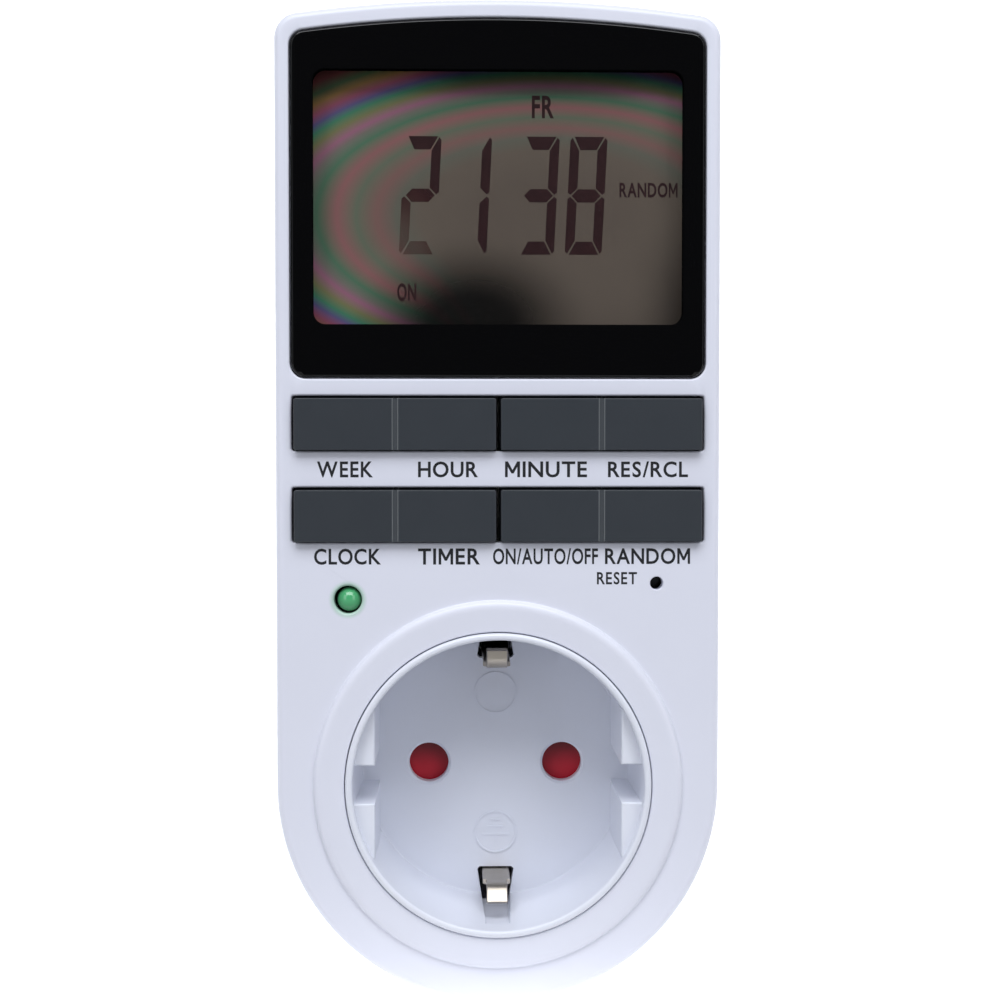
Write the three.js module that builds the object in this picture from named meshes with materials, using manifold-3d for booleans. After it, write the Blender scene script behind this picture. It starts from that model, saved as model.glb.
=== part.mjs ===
// A plug-in programmable timer: it plugs into a wall socket with its two rear pins, switches the socket
// outlet in its front by relay, and is set with eight keys under a liquid crystal display.
//
// Millimetres. +X is right as seen from the front, +Z is up, +Y points to the wall. The origin is the
// centre of the rear plug's end face: it lies on the axis shared by the plug and the socket outlet.
import * as THREE from "three";
import { mergeVertices } from "three/addons/utils/BufferGeometryUtils.js";
import Module from "manifold-3d";

const wasm = await Module();
wasm.setup();

// ---------------------------------------------------------------- driving dimensions
const BODY_WIDTH = 59.1;
const BODY_TOP = 104.1; // highest point above the socket axis
const BODY_DEPTH = 38; // front face to rear face, without the plug
const BODY_ARCH_RADIUS = 194; // the gentle arch of the top edge
const BODY_CORNER_RADIUS = 3.3;
const BODY_EDGE = 1.0; // bevel round the front and rear faces
const PANEL = 2.4; // front wall
const WALL = 2.0; // side walls
const REAR_WALL = 2.2;
const FRONT_SHELL_DEPTH = 19.3; // front face to parting line
const LIP_HEIGHT = 2.3;
const LIP_THICKNESS = 1.2;

const PLUG_LENGTH = 17.3; // rear face to the plug's end face
const PLUG_RADIUS = 18.3;
const PLUG_FLAT = 16.2; // half distance across the plug's side flats
const PLUG_RIB_REACH = 17.9;
const PLUG_RIB_WIDTH = 4.6;
const PLUG_END_WALL = 3.2;
const PLUG_SKIN = 2.0;
const PIN_SPACING = 19; // between the two pins, and between the two socket contacts
const PIN_RADIUS = 2.4;
const PIN_LENGTH = 19;

const RECESS_DEPTH = 17.5; // socket rim to socket floor
const RECESS_RADIUS = 19.45;
const RECESS_DRAFT = 0.4; // the recess narrows by this much towards its floor
const RIM_WIDTH = 0.95;
const RIM_PROUD = 1.3; // of the front face
const SOCKET_FLOOR = 2.0;
const PIN_HOLE_RADIUS = 2.8;
const GUIDE_DEPTH = 2.95; // recess wall to the guide blocks' faces, 33 mm apart
const GUIDE_HALF_HEIGHT = 10;
const GUIDE_NOTCH = 5.1;
const GUIDE_SETBACK = 1.6; // guide blocks below the rim
const COLLAR_WIDTH = 4.2; // round the rim
const COLLAR_PROUD = 0.8;

const BORDER = 2.15; // body side to display lens
const LENS_TOP_BORDER = 2.6;
const LENS_BOTTOM = 54.35;
const LENS_CORNER = 1.9;
const LENS_THICKNESS = 1.4;
const LENS_PROUD = 0.15;
const LENS_POCKET = 1.55;
const GLASS_WIDTH = 51.6;
const GLASS_HEIGHT = 35.9;
const GLASS_THICKNESS = 2.2;
const GLASS_TOP_BORDER = 8.2; // body top to the display glass
const WINDOW_MARGIN = 0.9; // glass edge to the opening in the front wall

const KEY_ROW_Z = [48.22, 36.08];
const KEY_OPENING_HEIGHT = 7.33;
const KEY_GAP = 0.3; // round each key cap
const KEY_PROUD = 1.1;
const KEY_FLANGE = 1.0;
const KEY_TRAVEL_ROOM = 1.0; // behind the front wall, so that a tilted key stays clear
const TRUNNION_RADIUS = 0.7;
const DOME_HEIGHT = 2.4;

const LED_X = -20.0;
const LED_Z = 24.82;
const LED_RADIUS = 1.5;
const LED_HOLE_RADIUS = 1.75;
const LED_LEAD_SPACING = 2.54;
const RESET_X = 21.12;
const RESET_Z = 26.93;
const RESET_HOLE_RADIUS = 0.88;
const RESET_TRAVEL = 0.3;

const BOARD = 1.6; // thickness of both circuit boards
const CONTROL_BOARD_DEPTH = 8.7; // front face to the control board's front
const POWER_BOARD_GAP = 7.5; // rear wall to the power board
const GAP = 0.2; // between pieces that rest on each other
const RUNNING = 0.12; // round pieces that turn or slide

// ---------------------------------------------------------------- planes that follow from them
const half = BODY_WIDTH / 2;
const rearY = -PLUG_LENGTH;
const frontY = rearY - BODY_DEPTH;
const panelY = frontY + PANEL;
const partingY = frontY + FRONT_SHELL_DEPTH;
const rearInnerY = rearY - REAR_WALL;
const rimY = frontY - RIM_PROUD;
const floorY = rimY + RECESS_DEPTH;
const floorBackY = floorY + SOCKET_FLOOR;
const controlY = frontY + CONTROL_BOARD_DEPTH;
const controlBackY = controlY + BOARD;
const powerBackY = rearInnerY - POWER_BOARD_GAP;
const powerY = powerBackY - BOARD;
const pinX = PIN_SPACING / 2;
const ledLeadX = [-1, 1].map((s) => LED_X + (s * LED_LEAD_SPACING) / 2);
const pinPlaces = [-1, 1].map((s) => [s * pinX, 0]);
const lipFrontY = partingY - LIP_HEIGHT;
const rimRadius = RECESS_RADIUS + RIM_WIDTH;
const collarRadius = rimRadius + COLLAR_WIDTH;
const guideFlat = RECESS_RADIUS - GUIDE_DEPTH;
const boardBottom = rimRadius + 2.3; // lower edge of the control board, clear of the socket
const lensHalf = half - BORDER;
const glassTop = BODY_TOP - GLASS_TOP_BORDER;
const glassMid = glassTop - GLASS_HEIGHT / 2;

// ---------------------------------------------------------------- solids
function solid(geometry) {
  const g = geometry.clone();
  g.deleteAttribute("normal");
  g.deleteAttribute("uv");
  const merged = mergeVertices(g, 1e-4);
  return new wasm.Manifold(
    new wasm.Mesh({
      numProp: 3,
      vertProperties: merged.attributes.position.array,
      triVerts: new Uint32Array(merged.index.array),
    }),
  );
}

function join(first, ...rest) {
  return rest.reduce((a, b) => a.add(b), first);
}

function cut(first, ...rest) {
  return rest.reduce((a, b) => a.subtract(b), first);
}

const block = (x0, x1, y0, y1, z0, z1) =>
  solid(
    new THREE.BoxGeometry(x1 - x0, y1 - y0, z1 - z0).translate((x0 + x1) / 2, (y0 + y1) / 2, (z0 + z1) / 2),
  );

// A round bar along Y whose radius may differ at its two ends.
const barY = (x, z, y0, y1, r0, r1 = r0, sides = 16) =>
  solid(new THREE.CylinderGeometry(r1, r0, y1 - y0, sides).translate(x, (y0 + y1) / 2, z));

// The same round bar at each of several [x, z] places.
const barsAt = (places, y0, y1, r, sides) => places.map(([x, z]) => barY(x, z, y0, y1, r, r, sides));

const barX = (y, z, x0, x1, r, sides = 12) =>
  solid(
    new THREE.CylinderGeometry(r, r, x1 - x0, sides).rotateZ(-Math.PI / 2).translate((x0 + x1) / 2, y, z),
  );

const barZ = (x, y, z0, z1, r, sides = 12) =>
  solid(
    new THREE.CylinderGeometry(r, r, z1 - z0, sides).rotateX(Math.PI / 2).translate(x, y, (z0 + z1) / 2),
  );

// A solid turned about an axis along Y through (x, z); the profile is [radius, y] from rear to front.
function turnedY(x, z, profile, sides = 24) {
  const points = profile.map(([r, y]) => new THREE.Vector2(r, y));
  return solid(new THREE.LatheGeometry(points.reverse(), sides).translate(x, 0, z));
}

// An outline in X and Z, swept along Y.
function prismY(points, y0, y1) {
  const shape = new THREE.Shape(points.map(([x, z]) => new THREE.Vector2(x, z)));
  const g = new THREE.ExtrudeGeometry(shape, { depth: y1 - y0, bevelEnabled: false });
  return solid(g.rotateX(Math.PI / 2).translate(0, y1, 0));
}

// The same with a bevel round its front edge only.
function bevelledPrismY(points, y0, y1, bevel) {
  const shape = new THREE.Shape(points.map(([x, z]) => new THREE.Vector2(x, z)));
  const g = new THREE.ExtrudeGeometry(shape, {
    depth: y1 - y0,
    bevelThickness: bevel,
    bevelSize: bevel,
    bevelOffset: -bevel,
    bevelSegments: 1,
  });
  const whole = solid(g.rotateX(Math.PI / 2).translate(0, y1 + bevel, 0));
  const reach = 1000;
  return cut(whole, block(-reach, reach, y1, y1 + reach, -reach, reach));
}

// The mirror image, front to back, of a solid about the plane y.
const flippedAbout = (s, y) => s.translate([0, -y, 0]).mirror([0, 1, 0]).translate([0, y, 0]);

// An outline in Y and Z, swept along X.
function prismX(points, x0, x1) {
  const shape = new THREE.Shape(points.map(([y, z]) => new THREE.Vector2(y, z)));
  const g = new THREE.ExtrudeGeometry(shape, { depth: x1 - x0, bevelEnabled: false });
  const m = new THREE.Matrix4().makeBasis(
    new THREE.Vector3(0, 1, 0),
    new THREE.Vector3(0, 0, 1),
    new THREE.Vector3(1, 0, 0),
  );
  return solid(g.applyMatrix4(m).translate(x0, 0, 0));
}

// A round wire through points, as a sweep of an eight-sided section.
function wire(points, radius, steps) {
  const path = new THREE.CatmullRomCurve3(points.map((p) => new THREE.Vector3(...p)), false, "centripetal");
  const corners = arc(0, 0, radius, 0, 2 * Math.PI, 8).slice(0, 8);
  const section = new THREE.Shape(corners.map((p) => new THREE.Vector2(...p)));
  return solid(new THREE.ExtrudeGeometry(section, { steps, extrudePath: path, bevelEnabled: false }));
}

function arc(cx, cz, r, from, to, steps) {
  return Array.from({ length: steps + 1 }, (_, i) => {
    const a = from + ((to - from) * i) / steps;
    return [cx + r * Math.cos(a), cz + r * Math.sin(a)];
  });
}

// Upper edge of the body's outline and of all that follows it: an arch between two rounded corners.
function archedTop(halfWidth, top, archRadius, corner) {
  const centre = top - archRadius;
  const cornerX = halfWidth - corner;
  const cornerZ = centre + Math.sqrt((archRadius - corner) ** 2 - cornerX ** 2);
  const a = Math.atan2(cornerZ - centre, cornerX);
  return [
    ...arc(cornerX, cornerZ, corner, 0, a, 4),
    ...arc(0, centre, archRadius, a, Math.PI - a, 8).slice(1, -1),
    ...arc(-cornerX, cornerZ, corner, Math.PI - a, Math.PI, 4),
  ];
}

const bodyOutline = (inset) => [
  ...archedTop(
    half - inset, BODY_TOP - inset, BODY_ARCH_RADIUS - inset, Math.max(BODY_CORNER_RADIUS - inset, 0.6),
  ),
  ...arc(0, 0, half - inset, Math.PI, 2 * Math.PI, 30),
];

function lensOutline(grow) {
  const w = lensHalf + grow;
  const r = LENS_CORNER + grow;
  const bottom = LENS_BOTTOM - grow;
  return [
    ...archedTop(w, BODY_TOP - LENS_TOP_BORDER + grow, BODY_ARCH_RADIUS - LENS_TOP_BORDER + grow, r),
    ...arc(-w + r, bottom + r, r, Math.PI, 1.5 * Math.PI, 4),
    ...arc(w - r, bottom + r, r, 1.5 * Math.PI, 2 * Math.PI, 4),
  ];
}

// ---------------------------------------------------------------- places shared by several pieces
const caseScrewAngle = THREE.MathUtils.degToRad(62);
const caseScrewRing = half - 4.95;
const caseScrewPlaces = [
  [-caseScrewRing, BODY_TOP - 4.8],
  [caseScrewRing, BODY_TOP - 4.8],
  [-caseScrewRing * Math.cos(caseScrewAngle), -caseScrewRing * Math.sin(caseScrewAngle)],
  [caseScrewRing * Math.cos(caseScrewAngle), -caseScrewRing * Math.sin(caseScrewAngle)],
];
const controlScrewPlaces = [
  [-18, BODY_TOP - 4.7],
  [18, BODY_TOP - 4.7],
  [-11, 25.8],
  [11, 25.8],
];
const insertScrewAngle = THREE.MathUtils.degToRad(20);
const insertScrewRing = rimRadius + 4.5;
const insertScrewPlaces = [-1, 1].map((s) => [
  s * insertScrewRing * Math.cos(insertScrewAngle),
  -insertScrewRing * Math.sin(insertScrewAngle),
]);
const powerBoardTop = BODY_TOP - 12.1;
const powerBoardHalf = half - 5.5;
const powerScrewPlaces = [
  [-(powerBoardHalf - 3.5), powerBoardTop - 3.5],
  [powerBoardHalf - 3.5, 29.5],
];
const carrierScrewPlaces = [
  [-4.45, 12.2],
  [4.45, -12.2],
];
const CASE_BOSS = 2.3;
const CASE_HEAD_HOLE = 2.9;
const CASE_REAR_BOSS = 3.5;
const CASE_SCREW = 1.3;
const CASE_SEAT_DEPTH = 10.7; // rear face to the screw head's seat
const CASE_SCREW_GRIP = 6; // how far the screw enters the front cover's boss
const SMALL_SCREW = 0.9;
const SMALL_BOSS = 1.7;
const SMALL_CLEAR = SMALL_SCREW + 0.3; // hole that a small screw passes through freely
const INSERT_BOSS = 2.1;
const ROOT = 0.2; // how far a boss sinks into the wall it stands on
const insertBossY = panelY + 3.2;
const caseSeatY = rearY - CASE_SEAT_DEPTH;
const keyPlaneY = panelY + KEY_TRAVEL_ROOM; // front of the key flanges
const pivotY = keyPlaneY + KEY_FLANGE / 2;
const keyHalf = (2 * lensHalf - 2 * KEY_GAP - 0.5) / 4;
const keyX = keyHalf + 0.25;
const keyHalfHeight = KEY_OPENING_HEIGHT / 2 - KEY_GAP;
const flangeHalfHeight = keyHalfHeight + 0.85;
const matY = controlY - GAP - 1;

// ---------------------------------------------------------------- materials
const finish = (color, roughness, metalness = 0) =>
  new THREE.MeshStandardMaterial({ color, roughness, metalness });
const white = finish(0xdedfec, 0.42);
const whiteInsert = finish(0xe4e6ef, 0.35);
const lensBlack = finish(0x0c0d10, 0.08);
const keyGrey = finish(0x363b41, 0.45);
const silicone = finish(0xc9c9c4, 0.7);
const boardGreen = finish(0x1f5a37, 0.5);
const epoxyBlack = finish(0x141414, 0.35);
const glassGrey = finish(0x5a5550, 0.1);
const foilWhite = finish(0xd8dad6, 0.5);
const zebraPink = finish(0xb98c8c, 0.7);
const ledGreen = finish(0x46a064, 0.15);
const switchGrey = finish(0x8f9296, 0.5);
const steel = finish(0xb9bbbe, 0.35, 1);
const nickel = finish(0xe1d7c8, 0.3, 1);
const brass = finish(0xc9a35a, 0.35, 1);
const red = finish(0x961c2d, 0.4);
const carrierGrey = finish(0x55585c, 0.55);
const relayBlue = finish(0x1f4f9c, 0.35);
const capRed = finish(0x8d2a2a, 0.4);
const sleeveBlack = finish(0x17181a, 0.45);
const varistorBlue = finish(0x2a58a8, 0.5);
const resistorBlue = finish(0x6fa3c4, 0.5);
const wireBrown = finish(0x6a3b20, 0.5);
const wireBlue = finish(0x2146a0, 0.5);
const ribbonGrey = finish(0x9a9da1, 0.55);

const timer = new THREE.Group();

function add(name, made, material) {
  const m = made.getMesh();
  const g = new THREE.BufferGeometry();
  g.setAttribute("position", new THREE.BufferAttribute(new Float32Array(m.vertProperties), 3));
  g.setIndex(new THREE.BufferAttribute(new Uint32Array(m.triVerts), 1));
  g.computeVertexNormals();
  const mesh = new THREE.Mesh(g, material);
  mesh.name = name;
  timer.add(mesh);
}

// A pan-head screw whose head is behind its seat at y, with its shank towards the front.
function screw(x, z, seatY, shank, length, head, headHeight) {
  return turnedY(x, z, [
    [0, seatY + headHeight],
    [head * 0.7, seatY + headHeight],
    [head, seatY + headHeight * 0.5],
    [head, seatY],
    [shank, seatY],
    [shank, seatY - length + shank],
    [0, seatY - length],
  ], 10);
}

// ---------------------------------------------------------------- case
function frontCover() {
  const shell = cut(
    bevelledPrismY(bodyOutline(0), frontY, partingY, BODY_EDGE),
    prismY(bodyOutline(WALL), panelY, partingY + 1),
  );
  const collar = barY(0, 0, frontY - COLLAR_PROUD, frontY + 0.5, collarRadius - 0.5, collarRadius, 40);
  // Saddles carry the key caps' trunnions from the front wall.
  const saddles = KEY_ROW_Z.flatMap((z) =>
    [-1, 1].flatMap((side) =>
      [-1, 1].map((end) => {
        const near = z + end * (flangeHalfHeight + 0.3);
        const far = z + end * (flangeHalfHeight + 1.3);
        return block(
          side * keyX - 1.7, side * keyX + 1.7, panelY - ROOT, pivotY,
          Math.min(near, far), Math.max(near, far),
        );
      }),
    ),
  );
  const whole = join(
    shell, collar, ...saddles,
    ...barsAt(caseScrewPlaces, panelY - ROOT, partingY - GAP, CASE_BOSS, 12),
    ...barsAt(controlScrewPlaces, panelY - ROOT, controlY - GAP, SMALL_BOSS, 10),
    ...barsAt(insertScrewPlaces, panelY - ROOT, insertBossY, INSERT_BOSS, 10),
  );
  const windowHalf = GLASS_WIDTH / 2 - WINDOW_MARGIN;
  const windowHalfHeight = GLASS_HEIGHT / 2 - WINDOW_MARGIN + 0.6;
  return cut(
    whole,
    prismY(lensOutline(GAP), frontY - 1, frontY + LENS_POCKET),
    block(
      -windowHalf, windowHalf, frontY, panelY + 1,
      glassMid - windowHalfHeight, glassMid + windowHalfHeight,
    ),
    ...KEY_ROW_Z.map((z) =>
      block(
        -lensHalf, lensHalf, frontY - 1, panelY + 0.01,
        z - KEY_OPENING_HEIGHT / 2, z + KEY_OPENING_HEIGHT / 2,
      ),
    ),
    ...KEY_ROW_Z.flatMap((z) =>
      [-1, 1].map((side) =>
        barZ(
          side * keyX, pivotY, z - flangeHalfHeight - 2, z + flangeHalfHeight + 2,
          TRUNNION_RADIUS + RUNNING,
        ),
      ),
    ),
    barY(0, 0, frontY - 5, panelY + 1, rimRadius + 0.3, rimRadius + 0.3, 40),
    barY(LED_X, LED_Z, frontY - 1, panelY + 1, LED_HOLE_RADIUS + 0.15, LED_HOLE_RADIUS + 0.15),
    barY(RESET_X, RESET_Z, frontY - 1, panelY + 1, RESET_HOLE_RADIUS, RESET_HOLE_RADIUS, 12),
    ...barsAt(caseScrewPlaces, partingY - 9, partingY + 1, CASE_SCREW + RUNNING, 8),
    ...barsAt(controlScrewPlaces, controlY - 4.6, controlY + 1, SMALL_SCREW + RUNNING, 8),
    ...barsAt(insertScrewPlaces, insertBossY - 4.2, insertBossY + 1, SMALL_SCREW + RUNNING, 8),
  );
}

function plugOutline(grow) {
  const r = PLUG_RADIUS + grow;
  const flat = PLUG_FLAT + grow;
  const rib = PLUG_RIB_WIDTH / 2 + grow;
  const reach = PLUG_RIB_REACH + grow;
  const turn = Math.acos(flat / r);
  return [
    ...arc(0, 0, r, turn, Math.PI - turn, 14),
    [-flat, rib], [-reach, rib], [-reach, -rib], [-flat, -rib],
    ...arc(0, 0, r, Math.PI + turn, 2 * Math.PI - turn, 14),
    [flat, -rib], [reach, -rib], [reach, rib], [flat, rib],
  ];
}

const EARTH_GROOVE = 4.6;
const earthArmOuter = PLUG_RADIUS - 2.4; // outer face of the plug's earth strip
const EARTH_STRIP = 0.7;

function rearCover() {
  const shell = cut(
    flippedAbout(bevelledPrismY(bodyOutline(0), rearY, 2 * rearY - partingY, BODY_EDGE), rearY),
    prismY(bodyOutline(WALL), partingY - 1, rearInnerY),
  );
  const lip = cut(
    prismY(bodyOutline(WALL + GAP), lipFrontY, partingY + 1),
    prismY(bodyOutline(WALL + GAP + LIP_THICKNESS), lipFrontY - 1, partingY + 2),
  );
  const lipRoot = cut(
    prismY(bodyOutline(WALL - 0.2), partingY, partingY + 1.5),
    prismY(bodyOutline(WALL + GAP + LIP_THICKNESS), partingY - 1, partingY + 2),
  );
  const plug = prismY(plugOutline(0), rearInnerY, 0);
  const hollow = prismY(plugOutline(-PLUG_SKIN), rearInnerY - 1, -PLUG_END_WALL);
  const grooves = [-1, 1].map((s) => {
    const inner = s * (earthArmOuter - EARTH_STRIP - 0.8);
    const outer = s * (PLUG_RADIUS + 1);
    return block(
      -EARTH_GROOVE / 2, EARTH_GROOVE / 2, rearInnerY - 1, 1, Math.min(inner, outer), Math.max(inner, outer),
    );
  });
  // The grooves stop at the rear wall's outer face on the outside, and are open to the inside behind it.
  const grooveStops = [-1, 1].map((s) => {
    const inner = s * (earthArmOuter + 0.3);
    const outer = s * (PLUG_RADIUS + 1.5);
    return block(
      -EARTH_GROOVE / 2 - 1, EARTH_GROOVE / 2 + 1, rearInnerY, rearY,
      Math.min(inner, outer), Math.max(inner, outer),
    );
  });
  const plugWithGrooves = join(cut(join(shell, plug), hollow, ...grooves), ...grooveStops);
  return cut(
    join(
      plugWithGrooves, lip, lipRoot,
      ...barsAt(caseScrewPlaces, partingY + GAP, rearInnerY + 0.5, CASE_REAR_BOSS, 14),
      ...barsAt(powerScrewPlaces, powerBackY + GAP, rearInnerY + 0.5, SMALL_BOSS, 10),
    ),
    ...barsAt(pinPlaces, -PLUG_END_WALL - 1, 1, PIN_RADIUS + GAP, 16),
    ...barsAt(caseScrewPlaces, caseSeatY, rearY + 1, CASE_HEAD_HOLE, 14),
    ...barsAt(caseScrewPlaces, lipFrontY - 1, caseSeatY + 1, CASE_SCREW + 0.4, 10),
    ...barsAt(caseScrewPlaces, lipFrontY - 1, partingY + GAP, CASE_BOSS + 0.3, 14),
    ...barsAt(powerScrewPlaces, powerBackY, rearInnerY - 1.5, SMALL_SCREW + RUNNING, 8),
  );
}

add("front_cover", frontCover(), white);
add("rear_cover", rearCover(), white);
caseScrewPlaces.forEach(([x, z], i) =>
  add(
    "case_screw_" + (i + 1),
    screw(x, z, caseSeatY + 0.05, CASE_SCREW, caseSeatY - partingY + CASE_SCREW_GRIP, 2.6, 1.9),
    steel,
  ),
);

// ---------------------------------------------------------------- display
const lensFrontY = frontY - LENS_PROUD;
add("display_lens", prismY(lensOutline(0), lensFrontY, lensFrontY + LENS_THICKNESS), lensBlack);

const glassY = panelY + 0.4;
const glassBackY = glassY + GLASS_THICKNESS;
const zebraInset = 0.5;
const ZEBRA_HEIGHT = 1.8;
const zebraHalf = GLASS_WIDTH / 2 - 4;
const zebraPlaces = {
  top: glassTop - zebraInset - ZEBRA_HEIGHT,
  bottom: glassTop - GLASS_HEIGHT + zebraInset,
};
const glassHalf = GLASS_WIDTH / 2;
const glassBottom = glassTop - GLASS_HEIGHT;
const holderBackY = controlY - GAP;
add("lcd_glass", block(-glassHalf, glassHalf, glassY, glassBackY, glassBottom, glassTop), glassGrey);
for (const [end, z] of Object.entries(zebraPlaces))
  add(
    "zebra_strip_" + end,
    block(-zebraHalf, zebraHalf, glassBackY + GAP, holderBackY, z, z + ZEBRA_HEIGHT),
    zebraPink,
  );

function lcdHolder() {
  const wall = 0.6;
  const shelfY = glassBackY + 2 * GAP + 0.5;
  return cut(
    block(
      -glassHalf - GAP - wall, glassHalf + GAP + wall, glassY, holderBackY,
      glassBottom - GAP - wall, glassTop + GAP + wall,
    ),
    block(-glassHalf - GAP, glassHalf + GAP, glassY - 1, glassBackY + GAP, glassBottom - GAP, glassTop + GAP),
    block(
      -glassHalf + 0.7, glassHalf - 0.7, glassY, shelfY, glassBottom + 2.9, glassTop - 2.9,
    ),
    block(-glassHalf + 3, glassHalf - 3, glassY, holderBackY + 1, glassBottom + 5, glassTop - 5),
    ...Object.values(zebraPlaces).map((z) =>
      block(-zebraHalf - GAP, zebraHalf + GAP, glassY, holderBackY + 1, z - GAP, z + ZEBRA_HEIGHT + GAP),
    ),
  );
}
add("lcd_holder", lcdHolder(), foilWhite);

// ---------------------------------------------------------------- keys
function keyCap(x, z) {
  const cap = join(
    block(
      x - keyHalf, x + keyHalf, frontY - KEY_PROUD + 0.35, keyPlaneY + 0.1,
      z - keyHalfHeight, z + keyHalfHeight,
    ),
    prismX(
      [
        [frontY - KEY_PROUD, z + keyHalfHeight - 0.3],
        [frontY - KEY_PROUD, z - keyHalfHeight + 0.3],
        [frontY - KEY_PROUD + 0.4, z - keyHalfHeight],
        [frontY - KEY_PROUD + 0.4, z + keyHalfHeight],
      ],
      x - keyHalf, x + keyHalf,
    ),
  );
  const flange = block(
    x - keyHalf, x + keyHalf, keyPlaneY, keyPlaneY + KEY_FLANGE, z - flangeHalfHeight, z + flangeHalfHeight,
  );
  const trunnion = barZ(x, pivotY, z - flangeHalfHeight - 1.2, z + flangeHalfHeight + 1.2, TRUNNION_RADIUS);
  const hollow = (s) =>
    block(
      x + s * keyHalf * 0.5 - 4.5, x + s * keyHalf * 0.5 + 4.5, frontY - KEY_PROUD + 1.6, keyPlaneY - 0.2,
      z - keyHalfHeight + 1, z + keyHalfHeight - 1,
    );
  const mouth = (s) =>
    block(
      x + s * keyHalf * 0.5 + (s > 0 ? 3.2 : -4.5), x + s * keyHalf * 0.5 + (s > 0 ? 4.5 : -3.2),
      keyPlaneY - 0.3, keyPlaneY + KEY_FLANGE + 1, z - keyHalfHeight + 1, z + keyHalfHeight - 1,
    );
  const groove = block(x - 0.35, x + 0.35, frontY - KEY_PROUD - 1, frontY - KEY_PROUD + 0.35, z - 5, z + 5);
  return cut(join(cap, flange, trunnion), groove, hollow(-1), hollow(1), mouth(-1), mouth(1));
}
const keyNames = [
  ["key_week_hour", "key_minute_recall"],
  ["key_clock_timer", "key_mode_random"],
];
KEY_ROW_Z.forEach((z, row) => [-1, 1].forEach((s, i) => add(keyNames[row][i], keyCap(s * keyX, z), keyGrey)));

function keypadMat() {
  const sheet = block(
    -lensHalf + 0.9, lensHalf - 0.9, matY, matY + 1, KEY_ROW_Z[1] - 5.8, KEY_ROW_Z[0] + 5.8,
  );
  const domes = KEY_ROW_Z.flatMap((z) =>
    [-1, 1].flatMap((s) =>
      [-1, 1].map((t) => barY(s * keyX + t * keyHalf * 0.5, z, matY - DOME_HEIGHT, matY + 0.3, 1.5, 2.6, 12)),
    ),
  );
  const wells = KEY_ROW_Z.flatMap((z) =>
    [-1, 1].flatMap((s) =>
      [-1, 1].map((t) => barY(s * keyX + t * keyHalf * 0.5, z, matY - 0.8, matY + 1.5, 1.6, 2.0, 10)),
    ),
  );
  return cut(join(sheet, ...domes), ...wells);
}
add("keypad_mat", keypadMat(), silicone);

// ---------------------------------------------------------------- control board
function controlBoard() {
  const reach = 200;
  const plate = cut(
    prismY(bodyOutline(WALL + 0.9), controlY, controlBackY),
    block(-reach, reach, controlY - 1, controlBackY + 1, -reach, boardBottom),
  );
  return cut(
    plate,
    ...barsAt(caseScrewPlaces.slice(0, 2), controlY - 1, controlBackY + 1, CASE_BOSS + 0.4, 16),
    ...barsAt(controlScrewPlaces, controlY - 1, controlBackY + 1, SMALL_CLEAR, 10),
    ...ledLeadX.map((x) =>
      block(x - 0.5, x + 0.5, controlY - 1, controlBackY + 1, LED_Z - 0.5, LED_Z + 0.5),
    ),
  );
}
add("control_board", controlBoard(), boardGreen);
controlScrewPlaces.forEach(([x, z], i) =>
  add("control_board_screw_" + (i + 1), screw(x, z, controlBackY + 0.1, SMALL_SCREW, 5.6, 1.8, 1.3), steel),
);

const behindControl = controlBackY + GAP;
add(
  "controller_chip",
  turnedY(8, BODY_TOP - 22, [
    [0, behindControl + 1.9],
    [3.5, behindControl + 1.6],
    [6.2, behindControl + 0.8],
    [7.2, behindControl],
    [0, behindControl],
  ], 20),
  epoxyBlack,
);
add("clock_crystal", barX(behindControl + 1.1, BODY_TOP - 36, 4, 10, 1.0, 10), steel);

function statusLed() {
  const tip = frontY - 0.25;
  const foot = frontY + 5;
  const bulb = turnedY(LED_X, LED_Z, [
    [0, foot],
    [LED_RADIUS + 0.4, foot],
    [LED_RADIUS + 0.4, foot - 1],
    [LED_RADIUS, foot - 1],
    [LED_RADIUS, tip + LED_RADIUS],
    [LED_RADIUS * 0.87, tip + LED_RADIUS * 0.5],
    [LED_RADIUS * 0.5, tip + LED_RADIUS * 0.13],
    [0, tip],
  ], 14);
  const leads = ledLeadX.map((x) =>
    block(x - 0.25, x + 0.25, foot - 0.2, controlBackY + 0.8, LED_Z - 0.25, LED_Z + 0.25),
  );
  return join(bulb, ...leads);
}
add("status_led", statusLed(), ledGreen);

const switchFrontY = controlY - GAP - 3.5;
const plungerBackY = switchFrontY + 0.7;
add(
  "reset_switch",
  cut(
    block(RESET_X - 2.4, RESET_X + 2.4, switchFrontY, controlY - GAP, RESET_Z - 2.4, RESET_Z + 2.4),
    barY(RESET_X, RESET_Z, switchFrontY - 1, plungerBackY + RESET_TRAVEL + 0.3, 0.9 + RUNNING, 0.9 + RUNNING),
  ),
  switchGrey,
);
add("reset_button", barY(RESET_X, RESET_Z, switchFrontY - 1.3, plungerBackY, 0.9), epoxyBlack);

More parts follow.
